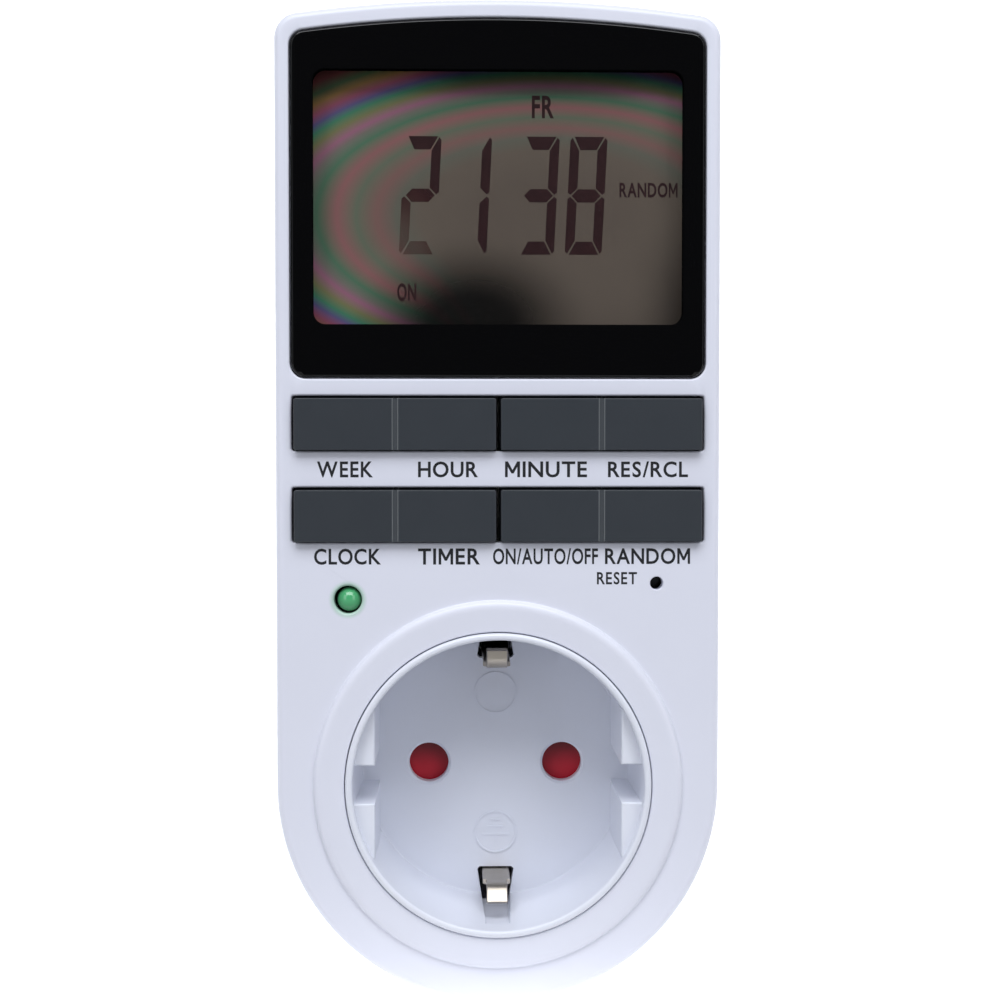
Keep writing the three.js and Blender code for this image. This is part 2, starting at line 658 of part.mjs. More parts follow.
const cellX = -13;
const cellZ = BODY_TOP - 22;
const CELL_RADIUS = 5.8;
const CELL_HEIGHT = 5.4;
const TAB = 0.3;
const cellY = behindControl + TAB + GAP;
add(
  "backup_battery",
  turnedY(cellX, cellZ, [
    [0, cellY + CELL_HEIGHT],
    [CELL_RADIUS - 0.5, cellY + CELL_HEIGHT],
    [CELL_RADIUS, cellY + CELL_HEIGHT - 0.5],
    [CELL_RADIUS, cellY + 0.5],
    [CELL_RADIUS - 0.5, cellY],
    [0, cellY],
  ], 20),
  steel,
);
const cellBackY = cellY + CELL_HEIGHT + GAP;
const tab = (y0, y1, z0, z1) => block(cellX - 1.5, cellX + 1.5, y0, y1, z0, z1);
add("battery_tab_negative", tab(behindControl, behindControl + TAB, cellZ - 9.5, cellZ + 4), nickel);
add(
  "battery_tab_positive",
  join(
    tab(cellBackY, cellBackY + TAB, cellZ - 3, cellZ + CELL_RADIUS + 1),
    tab(behindControl, cellBackY + TAB, cellZ + CELL_RADIUS + 0.7, cellZ + CELL_RADIUS + 1),
    tab(behindControl, behindControl + TAB, cellZ + CELL_RADIUS + 0.7, cellZ + CELL_RADIUS + 3),
  ),
  nickel,
);

// ---------------------------------------------------------------- socket outlet
const clipHalfWidth = 2.05;
const RIVET_HOLE = 1.2;
const CLIP_STRIP = 0.8;
const clipNose = RECESS_RADIUS - 4.85; // how near the axis the arms reach
const clipArm = RECESS_RADIUS - 2.15; // inner face of the clip's arms
const flangeY = panelY + GAP + 0.1;
const FLANGE = 1.6;
const LUG = 1.6;
function socketInsert() {
  const tube = turnedY(0, 0, [
    [0, floorBackY],
    [rimRadius - 0.6, floorBackY],
    [rimRadius, floorBackY - 1],
    [rimRadius, rimY + 0.5],
    [rimRadius - 0.35, rimY],
    [RECESS_RADIUS + 0.35, rimY],
    [RECESS_RADIUS, rimY + 0.4],
    [RECESS_RADIUS - RECESS_DRAFT, floorY],
    [0, floorY],
  ], 40);
  const tubeMiddle = (RECESS_RADIUS + rimRadius) / 2;
  const flange = cut(
    barY(0, 0, flangeY, flangeY + FLANGE, rimRadius + 1.7, rimRadius + 1.7, 36),
    barY(0, 0, flangeY - 1, flangeY + FLANGE + 1, tubeMiddle, tubeMiddle, 36),
  );
  const lug = ([x, z]) => {
    const a = Math.atan2(z, x);
    const side = new THREE.Vector2(-Math.sin(a), Math.cos(a)).multiplyScalar(2.2);
    const root = new THREE.Vector2(Math.cos(a), Math.sin(a)).multiplyScalar(rimRadius - 0.6);
    return join(
      barY(x, z, insertBossY + GAP, insertBossY + LUG, 2.2, 2.2, 12),
      prismY(
        [
          [root.x - side.x, root.y - side.y], [x - side.x, z - side.y],
          [x + side.x, z + side.y], [root.x + side.x, root.y + side.y],
        ],
        insertBossY + GAP, insertBossY + LUG,
      ),
    );
  };
  const guide = (s) => {
    const stretch = (z0, z1) => {
      const points = [
        [s * guideFlat, z0],
        [s * Math.sqrt((RECESS_RADIUS + 0.4) ** 2 - z0 ** 2), z0],
        [s * Math.sqrt((RECESS_RADIUS + 0.4) ** 2 - z1 ** 2), z1],
        [s * guideFlat, z1],
      ];
      return prismY(s > 0 ? points : points.reverse(), rimY + GUIDE_SETBACK, floorY + 0.5);
    };
    return join(
      stretch(GUIDE_NOTCH / 2, GUIDE_HALF_HEIGHT),
      stretch(-GUIDE_HALF_HEIGHT, -GUIDE_NOTCH / 2),
    );
  };
  const posts = [
    barY(0, 0, floorBackY - 0.5, shutterPlateY - GAP, SPINDLE, SPINDLE, 12),
    ...barsAt(carrierScrewPlaces, floorBackY - 0.5, shutterPlateY - GAP, 1.9, 12),
  ];
  // Slots for the earth clip, right through the wall: wide at the floor, narrow towards the rim.
  const slots = [-1, 1].flatMap((s) => {
    const slot = (halfWidth, y0, y1, inner, outer) =>
      block(-halfWidth, halfWidth, y0, y1, Math.min(s * inner, s * outer), Math.max(s * inner, s * outer));
    return [
      slot(2.6, rimY + 6.5, floorBackY + 1, clipNose + 0.4, rimRadius + 0.5),
      slot(1.7, rimY + 3.5, rimY + 7, clipNose + 0.4, rimRadius + 0.5),
    ];
  });
  return cut(
    join(tube, flange, ...insertScrewPlaces.map(lug), guide(-1), guide(1), ...posts),
    ...slots,
    ...barsAt(pinPlaces, floorY - 1, floorBackY + 1, PIN_HOLE_RADIUS, 24),
    ...barsAt(insertScrewPlaces, insertBossY - 0.2, insertBossY + LUG + 0.2, SMALL_CLEAR, 10),
    ...barsAt(carrierScrewPlaces, shutterPlateY - 2.6, shutterPlateY + 1, SMALL_SCREW + RUNNING, 8),
  );
}

const ROTOR_THICKNESS = 3.2;
const rotorY = floorBackY + 0.3;
const rotorBackY = rotorY + ROTOR_THICKNESS;
const SHUTTER_PLATE = 1.5;
const shutterPlateY = rotorBackY + 0.6;
const carrierY = shutterPlateY + SHUTTER_PLATE + GAP;
const BLADE_HALF_ANGLE = THREE.MathUtils.degToRad(20);
const BLADE_REACH = 13.2;
const HUB_RADIUS = 4.2;
const SPINDLE = 1.5; // post on which the shutter turns

// Two blades cover the pin holes from behind. Each front face is a ramp, so a pair of pins turns the rotor.
function shutterRotor() {
  const sector = (mid) =>
    prismY(
      [
        ...arc(0, 0, BLADE_REACH, mid - BLADE_HALF_ANGLE, mid + BLADE_HALF_ANGLE, 6),
        ...arc(0, 0, 2, mid + BLADE_HALF_ANGLE, mid - BLADE_HALF_ANGLE, 1),
      ],
      rotorY, rotorBackY,
    );
  const ramp = (mid) => {
    const tilt = THREE.MathUtils.degToRad(14);
    const wedge = new THREE.BoxGeometry(12, 8, 12);
    wedge.translate(BLADE_REACH - 3.4, -4, 0);
    wedge.rotateX(tilt);
    wedge.rotateY(-mid);
    return solid(wedge.translate(0, rotorY + 0.9, 0));
  };
  return cut(
    join(
      barY(0, 0, rotorY, rotorY + 1.5, HUB_RADIUS, HUB_RADIUS, 20),
      cut(
        join(sector(0), sector(Math.PI)), ramp(0), ramp(Math.PI),
        barY(0, 0, rotorY + 1.5, rotorBackY + 1, 5),
      ),
    ),
    barY(0, 0, rotorY - 1, rotorBackY + 1, SPINDLE + RUNNING, SPINDLE + RUNNING, 12),
  );
}

function shutterSpring() {
  const turns = 2.5;
  const steps = 40;
  const radius = 2.7;
  const y0 = rotorY + 1.5 + 0.4;
  const rise = rotorBackY - 0.1 - y0 - 0.3;
  const points = Array.from({ length: steps + 1 }, (_, i) => {
    const a = (2 * Math.PI * turns * i) / steps;
    return [radius * Math.cos(a), y0 + (rise * i) / steps, radius * Math.sin(a)];
  });
  return wire(points, 0.18, 34);
}

const shutterPlateRadius = clipArm - 1.5;
const shutterPlate = () =>
  cut(
    barY(0, 0, shutterPlateY, shutterPlateY + SHUTTER_PLATE, shutterPlateRadius, shutterPlateRadius, 32),
    ...barsAt(pinPlaces, shutterPlateY - 1, carrierY, PIN_HOLE_RADIUS, 16),
    ...barsAt(carrierScrewPlaces, shutterPlateY - 1, carrierY, SMALL_CLEAR, 10),
  );

const carrierBackY = floorY + PIN_LENGTH + 0.4;
const crossBarY = carrierBackY - 4.1; // front of the socket clip's cross bar
const CARRIER_HALF_WIDTH = 15.4;
const CARRIER_HALF_HEIGHT = 7.6;
function contactCarrier() {
  const ear = ([x, z]) =>
    join(
      barY(x, z, carrierY, carrierY + 3, 2.8, 2.8, 14),
      block(
        x - 2.6, x + 2.6, carrierY, carrierY + 3,
        Math.min(z, Math.sign(z) * 6), Math.max(z, Math.sign(z) * 6),
      ),
    );
  return cut(
    join(
      block(
        -CARRIER_HALF_WIDTH, CARRIER_HALF_WIDTH, carrierY, carrierBackY,
        -CARRIER_HALF_HEIGHT, CARRIER_HALF_HEIGHT,
      ),
      ...carrierScrewPlaces.map(ear),
    ),
    ...barsAt(pinPlaces, carrierY - 1, carrierBackY - 1.6, 3.5, 18),
    ...[-1, 1].map((s) =>
      block(
        s > 0 ? pinX : -CARRIER_HALF_WIDTH - 1, s > 0 ? CARRIER_HALF_WIDTH + 1 : -pinX,
        carrierBackY - 3.2, carrierBackY + 1, -2.4, 2.4,
      ),
    ),
    block(-clipHalfWidth - 0.3, clipHalfWidth + 0.3, crossBarY - 0.3, carrierBackY + 1, -20, 20),
    ...barsAt(carrierScrewPlaces, carrierY - 1, carrierY + 4, SMALL_CLEAR, 10),
  );
}

// A split sleeve grips a pin; its tail carries the wire.
function contact(s) {
  const backY = carrierBackY - 1.9;
  const sleeve = cut(
    barY(s * pinX, 0, carrierY + 0.2, backY, 3.2, 3.2, 18),
    barY(s * pinX, 0, carrierY - 1, backY + 1, PIN_RADIUS + 0.05, PIN_RADIUS + 0.05, 18),
    block(s * pinX - 0.4, s * pinX + 0.4, carrierY - 1, backY - 2.2, -4, 4),
  );
  const from = s * (pinX + PIN_RADIUS + 0.3);
  const to = s * (CARRIER_HALF_WIDTH + 2.1);
  return join(sleeve, block(Math.min(from, to), Math.max(from, to), backY - 0.9, backY, -1.8, 1.8));
}

// One strip makes both spring arms of the socket's earth contact and the bar between them.
function socketEarthClip() {
  const bar = block(
    -clipHalfWidth, clipHalfWidth, crossBarY, crossBarY + CLIP_STRIP,
    -clipArm - CLIP_STRIP, clipArm + CLIP_STRIP,
  );
  const tipY = rimY + 7.2;
  const arm = (s) => {
    const points = [
      [crossBarY + CLIP_STRIP, clipArm],
      [floorY - 1.5, clipArm],
      [tipY + 3.6, clipNose],
      [tipY + 2.0, clipNose],
      [tipY, clipNose + 1.8],
      [tipY, clipNose + 2.8],
      [tipY + 2.2, clipNose + 1],
      [tipY + 3.4, clipNose + 1],
      [floorY - 1.2, clipArm + CLIP_STRIP],
      [crossBarY + CLIP_STRIP, clipArm + CLIP_STRIP],
    ].map(([y, z]) => [y, s * z]);
    return prismX(s > 0 ? points : points.reverse(), -clipHalfWidth + 0.7, clipHalfWidth - 0.7);
  };
  const stem = (s) =>
    block(
      -clipHalfWidth, clipHalfWidth, floorY - 1.2, crossBarY + CLIP_STRIP,
      Math.min(s * clipArm, s * (clipArm + CLIP_STRIP)), Math.max(s * clipArm, s * (clipArm + CLIP_STRIP)),
    );
  const rivetHole = barY(0, 0, crossBarY - 1, crossBarY + 2, RIVET_HOLE, RIVET_HOLE, 12);
  return cut(join(bar, arm(-1), arm(1), stem(-1), stem(1)), rivetHole);
}

// The plug's earth strip: its two arms lie in the plug's grooves, where the wall socket's clips touch them.
const plugBarY = crossBarY + CLIP_STRIP + GAP;
function plugEarthClip() {
  const armInner = earthArmOuter - EARTH_STRIP;
  const arm = (s) =>
    block(
      -clipHalfWidth, clipHalfWidth, plugBarY, -1.2,
      Math.min(s * armInner, s * earthArmOuter), Math.max(s * armInner, s * earthArmOuter),
    );
  const bar = block(
    -clipHalfWidth, clipHalfWidth, plugBarY, plugBarY + EARTH_STRIP, -earthArmOuter, earthArmOuter,
  );
  return cut(join(bar, arm(-1), arm(1)), barY(0, 0, plugBarY - 1, plugBarY + 2, RIVET_HOLE, RIVET_HOLE, 12));
}

const earthRivet = () =>
  turnedY(0, 0, [
    [0, plugBarY + EARTH_STRIP + 0.9],
    [2, plugBarY + EARTH_STRIP + 0.7],
    [2, plugBarY + EARTH_STRIP + 0.05],
    [1.05, plugBarY + EARTH_STRIP + 0.05],
    [1.05, crossBarY - 0.2],
    [0, crossBarY - 0.2],
  ], 12);

add("socket_insert", socketInsert(), whiteInsert);
insertScrewPlaces.forEach(([x, z], i) =>
  add("insert_screw_" + (i + 1), screw(x, z, insertBossY + LUG + 0.05, SMALL_SCREW, 4.8, 1.8, 1.3), steel),
);
add("shutter_rotor", shutterRotor(), red);
add("shutter_spring", shutterSpring(), steel);
add("shutter_plate", shutterPlate(), carrierGrey);
add("contact_carrier", contactCarrier(), carrierGrey);
carrierScrewPlaces.forEach(([x, z], i) =>
  add("carrier_screw_" + (i + 1), screw(x, z, carrierY + 3.05, SMALL_SCREW, 6.9, 1.8, 1.3), steel),
);
add("live_contact", contact(-1), brass);
add("neutral_contact", contact(1), brass);
add("socket_earth_clip", socketEarthClip(), nickel);
add("plug_earth_clip", plugEarthClip(), nickel);
add("earth_rivet", earthRivet(), brass);

// ---------------------------------------------------------------- plug
const pinFlangeY = -PLUG_END_WALL - 0.05;
const PIN_FLANGE = 1.2;
const PIN_TAIL = 1.3;
const retainerY = pinFlangeY - PIN_FLANGE - GAP;
const RETAINER = 2.4;
const pinTailY = retainerY - RETAINER - 1.6;
const plugPin = (s) =>
  turnedY(s * pinX, 0, [
    [0, PIN_LENGTH],
    [PIN_RADIUS * 0.55, PIN_LENGTH - 0.3],
    [PIN_RADIUS * 0.9, PIN_LENGTH - 1.1],
    [PIN_RADIUS, PIN_LENGTH - 2.2],
    [PIN_RADIUS, pinFlangeY],
    [PIN_RADIUS + 1.2, pinFlangeY],
    [PIN_RADIUS + 1.2, pinFlangeY - PIN_FLANGE],
    [PIN_TAIL, pinFlangeY - PIN_FLANGE],
    [PIN_TAIL, pinTailY],
    [0, pinTailY],
  ], 20);
add("plug_pin_live", plugPin(-1), nickel);
add("plug_pin_neutral", plugPin(1), nickel);
add(
  "pin_retainer",
  cut(
    block(-pinX - 4.4, pinX + 4.4, retainerY - RETAINER, retainerY, -5.5, 5.5),
    ...barsAt(pinPlaces, retainerY - RETAINER - 1, retainerY + 1, PIN_TAIL + GAP, 12),
  ),
  carrierGrey,
);

// ---------------------------------------------------------------- power board
const POWER_BOARD_BOTTOM = 26;
add(
  "power_board",
  cut(
    block(-powerBoardHalf, powerBoardHalf, powerY, powerBackY, POWER_BOARD_BOTTOM, powerBoardTop),
    ...barsAt(powerScrewPlaces, powerY - 1, powerBackY + 1, SMALL_CLEAR, 10),
  ),
  boardGreen,
);
// These screws go in from the front, so they are turned round.
powerScrewPlaces.forEach(([x, z], i) => {
  const seat = powerY - 0.05;
  const forwards = screw(x, z, seat, SMALL_SCREW, 5.4, 1.8, 1.3);
  add("power_board_screw_" + (i + 1), flippedAbout(forwards, seat), steel);
});

const onPower = powerY - GAP;
const relayBottom = POWER_BOARD_BOTTOM + 6;
add("relay", block(-18, -2.5, onPower - 14.2, onPower, relayBottom, relayBottom + 19), relayBlue);
add("dropper_capacitor", block(2.5, 10.5, onPower - 12, onPower, relayBottom + 3, relayBottom + 21), capRed);
const smoothingZ = powerBoardTop - 12;
add(
  "smoothing_capacitor",
  turnedY(-2.5, smoothingZ, [
    [0, onPower],
    [4, onPower],
    [4, onPower - 1.6],
    [3.7, onPower - 2],
    [4, onPower - 2.4],
    [4, onPower - 10.6],
    [3.6, onPower - 11],
    [0, onPower - 11],
  ], 16),
  sleeveBlack,
);
const fuseZ = POWER_BOARD_BOTTOM + 3;
add(
  "fuse_resistor",
  join(
    barX(onPower - 2.2, fuseZ, -15, -6, 1.7, 10),
    barX(onPower - 2.2, fuseZ, -17.5, -3.5, 0.4, 8),
    block(-17.6, -16.8, onPower - 2.5, onPower, fuseZ - 0.4, fuseZ + 0.4),
    block(-4.2, -3.4, onPower - 2.5, onPower, fuseZ - 0.4, fuseZ + 0.4),
  ),
  resistorBlue,
);
add(
  "varistor",
  join(
    barZ(15, onPower - 5.4, relayBottom + 10, relayBottom + 13, 4.4, 16),
    block(12.5, 17.5, onPower - 2.5, onPower, relayBottom + 11, relayBottom + 12),
  ),
  varistorBlue,
);
add("rectifier", block(2, 8.4, onPower - 3.3, onPower, smoothingZ - 4, smoothingZ + 4.2), epoxyBlack);

// A flat cable joins the two boards; its slack bows down.
const ribbonZ = relayBottom + 25;
const ribbonTop = [
  [behindControl, ribbonZ],
  [behindControl + 3, ribbonZ + 1.5],
  [(behindControl + onPower) / 2, ribbonZ + 2.2],
  [onPower - 3, ribbonZ + 1.5],
  [onPower, ribbonZ],
];
const RIBBON = 0.9;
add(
  "ribbon_cable",
  prismX([...ribbonTop, ...ribbonTop.map(([y, z]) => [y, z - RIBBON]).reverse()], -9, 3),
  ribbonGrey,
);

// ---------------------------------------------------------------- wires inside
const WIRE = 0.8;
const tailOut = CARRIER_HALF_WIDTH + 1.1;
const tailWireY = carrierBackY - 1.9 + GAP + WIRE;
const outWireY = tailWireY - 0.5;
const wireUpY = rearInnerY - 1.6;
// Each side has one wire from a plug pin up to the power board, and one from that board to a contact.
const wireIn = (s) =>
  wire([
    [s * pinX, pinTailY - GAP - WIRE, 0],
    [s * pinX, pinTailY - 2.6, 3],
    [s * pinX, wireUpY + 4, 10],
    [s * pinX, wireUpY + 1, 12.6],
    [s * pinX, wireUpY - 0.6, 16],
    [s * pinX, wireUpY - 1, 22],
    [s * pinX, powerBackY + 2.2, 27],
    [s * pinX, powerBackY + 1.3, 31],
  ], WIRE, 20);
const wireOut = (s) =>
  wire([
    [s * tailOut, tailWireY, 0],
    [s * (tailOut + 1), outWireY, 4],
    [s * (tailOut + 1.6), outWireY, 12],
    [s * (tailOut + 1.6), outWireY, 20],
    [s * (tailOut + 1.6), powerBackY + 1.6, 27],
    [s * (tailOut + 1.6), powerBackY + 1.3, 34],
  ], WIRE, 16);
add("wire_live_in", wireIn(-1), wireBrown);
add("wire_neutral", wireIn(1), wireBlue);
add("wire_live_out", wireOut(-1), wireBrown);
add("wire_neutral_out", wireOut(1), wireBlue);

export default timer;
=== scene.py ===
# %% [markdown]
# # A plug-in programmable timer
# A white case plugs into a wall socket, shows the time behind a black glossy window, and switches the
# earthed socket outlet in its front. The engineering model is loaded first and never moved. Each visible
# moulding, stamping and lens is then made again as a fine mesh that sits exactly in its place.

# %% Load the engineering model
import math

import bpy
import bmesh
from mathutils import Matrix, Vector
from mathutils.geometry import delaunay_2d_cdt


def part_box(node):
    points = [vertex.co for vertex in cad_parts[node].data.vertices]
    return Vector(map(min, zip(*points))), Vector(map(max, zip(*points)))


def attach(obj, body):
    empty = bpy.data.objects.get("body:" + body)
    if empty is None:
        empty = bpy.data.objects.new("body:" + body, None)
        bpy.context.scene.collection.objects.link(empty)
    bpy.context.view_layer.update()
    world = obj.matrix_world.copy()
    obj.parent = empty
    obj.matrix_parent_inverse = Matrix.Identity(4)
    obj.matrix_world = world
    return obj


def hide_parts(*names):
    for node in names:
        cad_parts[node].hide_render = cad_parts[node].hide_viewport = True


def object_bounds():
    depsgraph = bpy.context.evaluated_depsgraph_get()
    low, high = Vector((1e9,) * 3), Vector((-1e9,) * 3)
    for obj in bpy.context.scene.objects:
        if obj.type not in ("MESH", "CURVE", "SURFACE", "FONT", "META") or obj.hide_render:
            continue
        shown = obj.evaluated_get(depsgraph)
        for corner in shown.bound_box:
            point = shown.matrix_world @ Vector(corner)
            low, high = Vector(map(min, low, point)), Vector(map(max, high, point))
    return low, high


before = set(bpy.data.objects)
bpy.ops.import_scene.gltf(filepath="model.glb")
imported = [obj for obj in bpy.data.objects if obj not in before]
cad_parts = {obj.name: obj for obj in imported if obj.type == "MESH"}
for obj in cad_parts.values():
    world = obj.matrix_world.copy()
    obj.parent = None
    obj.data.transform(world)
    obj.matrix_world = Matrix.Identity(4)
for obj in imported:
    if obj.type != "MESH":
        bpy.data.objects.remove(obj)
cad_low, cad_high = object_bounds()
MM = 0.001
case_low, case_high = (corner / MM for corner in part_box("front_cover"))
insert_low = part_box("socket_insert")[0] / MM
print("case, mm:", [round(v, 2) for v in case_high - case_low])

# %% [markdown]
# ## Where things are
# The loaded nodes give the outer sizes. The few sizes that no box shows, such as the arch of the top edge
# or the width of the socket's rim, are named here once, in millimetres.

# %% Planes and sizes, in millimetres
HALF = case_high.x
TOP = case_high.z
COLLAR_PROUD = 0.8
FRONT = case_low.y + COLLAR_PROUD
PANEL = FRONT + 2.4
PARTING = case_high.y
WALL = 2.0
REAR = -17.3
REAR_INNER = REAR - 2.2
RIM = insert_low.y
FLOOR = RIM + 17.5
FLOOR_BACK = FLOOR + 2.0
RECESS = 19.45
RIM_OUTER = 20.4
COLLAR = 24.6
ARCH = 194.0
CORNER = 3.3
PIN_X = 9.5
lens_low, lens_high = (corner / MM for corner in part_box("display_lens"))
glass_low, glass_high = (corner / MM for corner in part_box("lcd_glass"))
LENS_HALF = lens_high.x
print("front face at", round(FRONT, 2), "parting line at", round(PARTING, 2))

# %% [markdown]
# ## Outlines
# A moulded case is a family of offset outlines: the same arch, corners and half circle, moved inwards or
# outwards. Every function here returns the same number of points whatever the offset, so that two outlines
# can be joined by a wall of quads without any fitting.

# %% Outline functions
def arc(cx, cz, radius, start, end, steps):
    """Points on a circle from one angle to another, both ends included."""
    span = end - start
    angles = [start + span * i / steps for i in range(steps + 1)]
    return [(cx + radius * math.cos(a), cz + radius * math.sin(a)) for a in angles]


def arched_top(half, top, arch, corner, corner_steps=10, arch_steps=40):
    """The gentle arch of the top edge between its two rounded corners, from right to left."""
    centre = top - arch
    cx = half - corner
    cz = centre + math.sqrt((arch - corner) ** 2 - cx ** 2)
    a = math.atan2(cz - centre, cx)
    right = arc(cx, cz, corner, 0, a, corner_steps)
    middle = arc(0, centre, arch, a, math.pi - a, arch_steps)[1:-1]
    left = arc(-cx, cz, corner, math.pi - a, math.pi, corner_steps)
    return right + middle + left


def straight(start, end, steps):
    """Points between two corners, without the corners themselves."""
    return [
        (start[0] + (end[0] - start[0]) * i / steps, start[1] + (end[1] - start[1]) * i / steps)
        for i in range(1, steps)
    ]


def body_outline(inset):
    """The case's outline, moved inwards by inset."""
    half = HALF - inset
    top = arched_top(half, TOP - inset, ARCH - inset, max(CORNER - inset, 0.5))
    bottom = arc(0, 0, half, math.pi, 2 * math.pi, 96)
    return top + straight(top[-1], bottom[0], 12) + bottom + straight(bottom[-1], top[0], 12)


def lens_outline(grow):
    """The display lens's outline, moved outwards by grow: it follows the case's arch."""
    half = LENS_HALF + grow
    radius = 1.9 + grow
    bottom = lens_low.z - grow
    drop = TOP - lens_high.z
    top = arched_top(half, lens_high.z + grow, ARCH - drop + grow, radius)
    left = arc(-half + radius, bottom + radius, radius, math.pi, 1.5 * math.pi, 10)
    right = arc(half - radius, bottom + radius, radius, 1.5 * math.pi, 2 * math.pi, 10)
    return top + straight(top[-1], left[0], 10) + left + straight(left[-1], right[0], 10) + right


def rounded_box(cx, cz, half_x, half_z, radius):
    """A rectangle with round corners."""
    corners = [(1, 1, 0), (-1, 1, 1), (-1, -1, 2), (1, -1, 3)]
    points = []
    for sx, sz, quarter in corners:
        start = quarter * math.pi / 2
        x = cx + sx * (half_x - radius)
        z = cz + sz * (half_z - radius)
        points += arc(x, z, radius, start, start + math.pi / 2, 6)
    return points


def circle(cx, cz, radius, steps=64):
    return arc(cx, cz, radius, 0, 2 * math.pi, steps)[:-1]


print("outline points:", len(body_outline(0)), "and", len(lens_outline(0)))

# %% [markdown]
# ## A small mesh builder
# Booleans leave long thin faces that shade badly on a large flat front. So the mouldings are built from
# loops instead: walls join two loops of equal count, and a flat face is a constrained triangulation
# between an outer loop and the loops of its holes. Every edge fillet is then a few rings of real geometry,
# and the mesh is closed from the start.

# %% The builder
def encloses(shape, point):
    """Whether a closed loop goes round a point: the crossings of a level line to its right are odd."""
    odd = False
    for (x0, _, z0), (x1, _, z1) in zip(shape, shape[1:] + shape[:1]):
        if (z0 > point.y) != (z1 > point.y) and point.x < x0 + (point.y - z0) * (x1 - x0) / (z1 - z0):
            odd = not odd
    return odd


class Moulding:
    """Collects loops, walls and flat faces, in millimetres, and turns them into one closed mesh."""

    def __init__(self):
        self.points = []
        self.faces = []

    def loop(self, points):
        start = len(self.points)
        self.points += points
        return list(range(start, len(self.points)))

    def level(self, outline, y):
        """A loop whose points all lie at one depth."""
        return self.loop([(x, y, z) for x, z in outline])

    def wall(self, *loops):
        for a, b in zip(loops, loops[1:]):
            count = len(a)
            for i in range(count):
                j = (i + 1) % count
                self.faces.append((a[i], a[j], b[j], b[i]))
        return loops[-1]

    def flat(self, outer, holes=()):
        """Fills the face between an outer loop and its holes with triangles."""
        loops = [outer, *holes]
        ids = [i for one in loops for i in one]
        flat_points = [Vector((self.points[i][0], self.points[i][2])) for i in ids]
        edges = []
        start = 0
        for one in loops:
            edges += [(start + i, start + (i + 1) % len(one)) for i in range(len(one))]
            start += len(one)
        corners, _, triangles, sources, *_ = delaunay_2d_cdt(flat_points, edges, [], 1, 1e-7, True)
        hole_shapes = [[self.points[i] for i in hole] for hole in holes]
        for face in triangles:
            middle = sum((corners[v] for v in face), Vector((0, 0))) / 3
            if not any(encloses(shape, middle) for shape in hole_shapes):
                self.faces.append(tuple(ids[sources[v][0]] for v in face))

    def mesh(self, name):
        mesh = bpy.data.meshes.new(name)
        mesh.from_pydata([tuple(c * MM for c in p) for p in self.points], [], self.faces)
        work = bmesh.new()
        work.from_mesh(mesh)
        bmesh.ops.remove_doubles(work, verts=work.verts, dist=1e-7)
        bmesh.ops.recalc_face_normals(work, faces=work.faces)
        work.to_mesh(mesh)
        work.free()
        return mesh


def quarter(radius, steps=5):
    """(inset, depth) pairs of a convex edge fillet, from the face to the wall."""
    angles = [math.pi / 2 * i / steps for i in range(steps + 1)]
    return [(radius * (1 - math.sin(a)), radius * (1 - math.cos(a))) for a in angles]


def hole_rings(part, outline, face_y, radius):
    """The rounded mouth of a hole: loops from the face down to where the wall is straight."""
    return [part.level(outline(inset), face_y + depth) for inset, depth in quarter(radius, 4)]


def turned(name, x, z, profile, steps=48):
    """A solid turned about an axis along Y. The profile is (radius, y), and flat discs close both ends."""
    part = Moulding()
    loops = [part.level(circle(x, z, r, steps), y) for r, y in profile]
    part.wall(*loops)
    part.faces.append(tuple(loops[0]))
    part.faces.append(tuple(loops[-1]))
    return part.mesh(name)


def slab(name, outline, front, back, edge=0.0):
    """A prism along Y. outline(inset) gives its loop, and edge rounds the rim of its front face."""
    part = Moulding()
    rounded = quarter(edge, 3) if edge else [(0, 0)]
    loops = [part.level(outline(inset), front + depth) for inset, depth in rounded]
    loops.append(part.level(outline(0), back))
    part.wall(*loops)
    part.flat(loops[0])
    part.flat(loops[-1])
    return part.mesh(name)


def bar(name, low, high, radius=0.0):
    """A box between two corners, with rounded edges."""
    work = bmesh.new()
    bmesh.ops.create_cube(work, size=1.0)
    for vert in work.verts:
        vert.co = Vector([(low[i] + high[i]) / 2 + vert.co[i] * (high[i] - low[i]) for i in range(3)]) * MM
    if radius:
        bmesh.ops.bevel(
            work, geom=work.edges[:], offset=radius * MM, segments=3, profile=0.5, affect="EDGES")
    mesh = bpy.data.meshes.new(name)
    work.to_mesh(mesh)
    work.free()
    return mesh


def combine(target, tools, operation):
    """Adds tools to a mesh object, or cuts them out of it, and removes them."""
    for tool in tools:
        step = target.modifiers.new("shape", "BOOLEAN")
        step.operation = operation
        step.solver = "EXACT"
        step.object = tool
        bpy.context.view_layer.objects.active = target
        bpy.ops.object.modifier_apply(modifier=step.name)
        bpy.data.objects.remove(tool, do_unlink=True)


def temporary(mesh):
    shape = bpy.data.objects.new(mesh.name, mesh)
    bpy.context.scene.collection.objects.link(shape)
    return shape


# %% [markdown]
# ## Turning a mesh into a piece
# Moulded plastic is smooth over its fillets and flat on its faces. Weighted normals do that: the large
# faces decide the shading, so the narrow fillet rings catch the light as a thin clean line.

# %% Placing a piece
SHARP = math.radians(42)


def place(mesh, name, finish, body="case", replaces=()):
    """Makes an object, gives it its finish, tells the frame what it rides on, and hides the nodes it
    replaces.
    """
    shape = mesh if isinstance(mesh, bpy.types.Object) else temporary(mesh)
    shape.name = name
    data = shape.data
    data.name = name
    data.polygons.foreach_set("use_smooth", [True] * len(data.polygons))
    data.set_sharp_from_angle(angle=SHARP)
    weighted = shape.modifiers.new("even shading", "WEIGHTED_NORMAL")
    weighted.keep_sharp = True
    data.materials.clear()
    data.materials.append(finish.material)
    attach(shape, body)
    if replaces:
        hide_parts(*replaces)
    print(name, len(data.vertices), "points")
    return shape


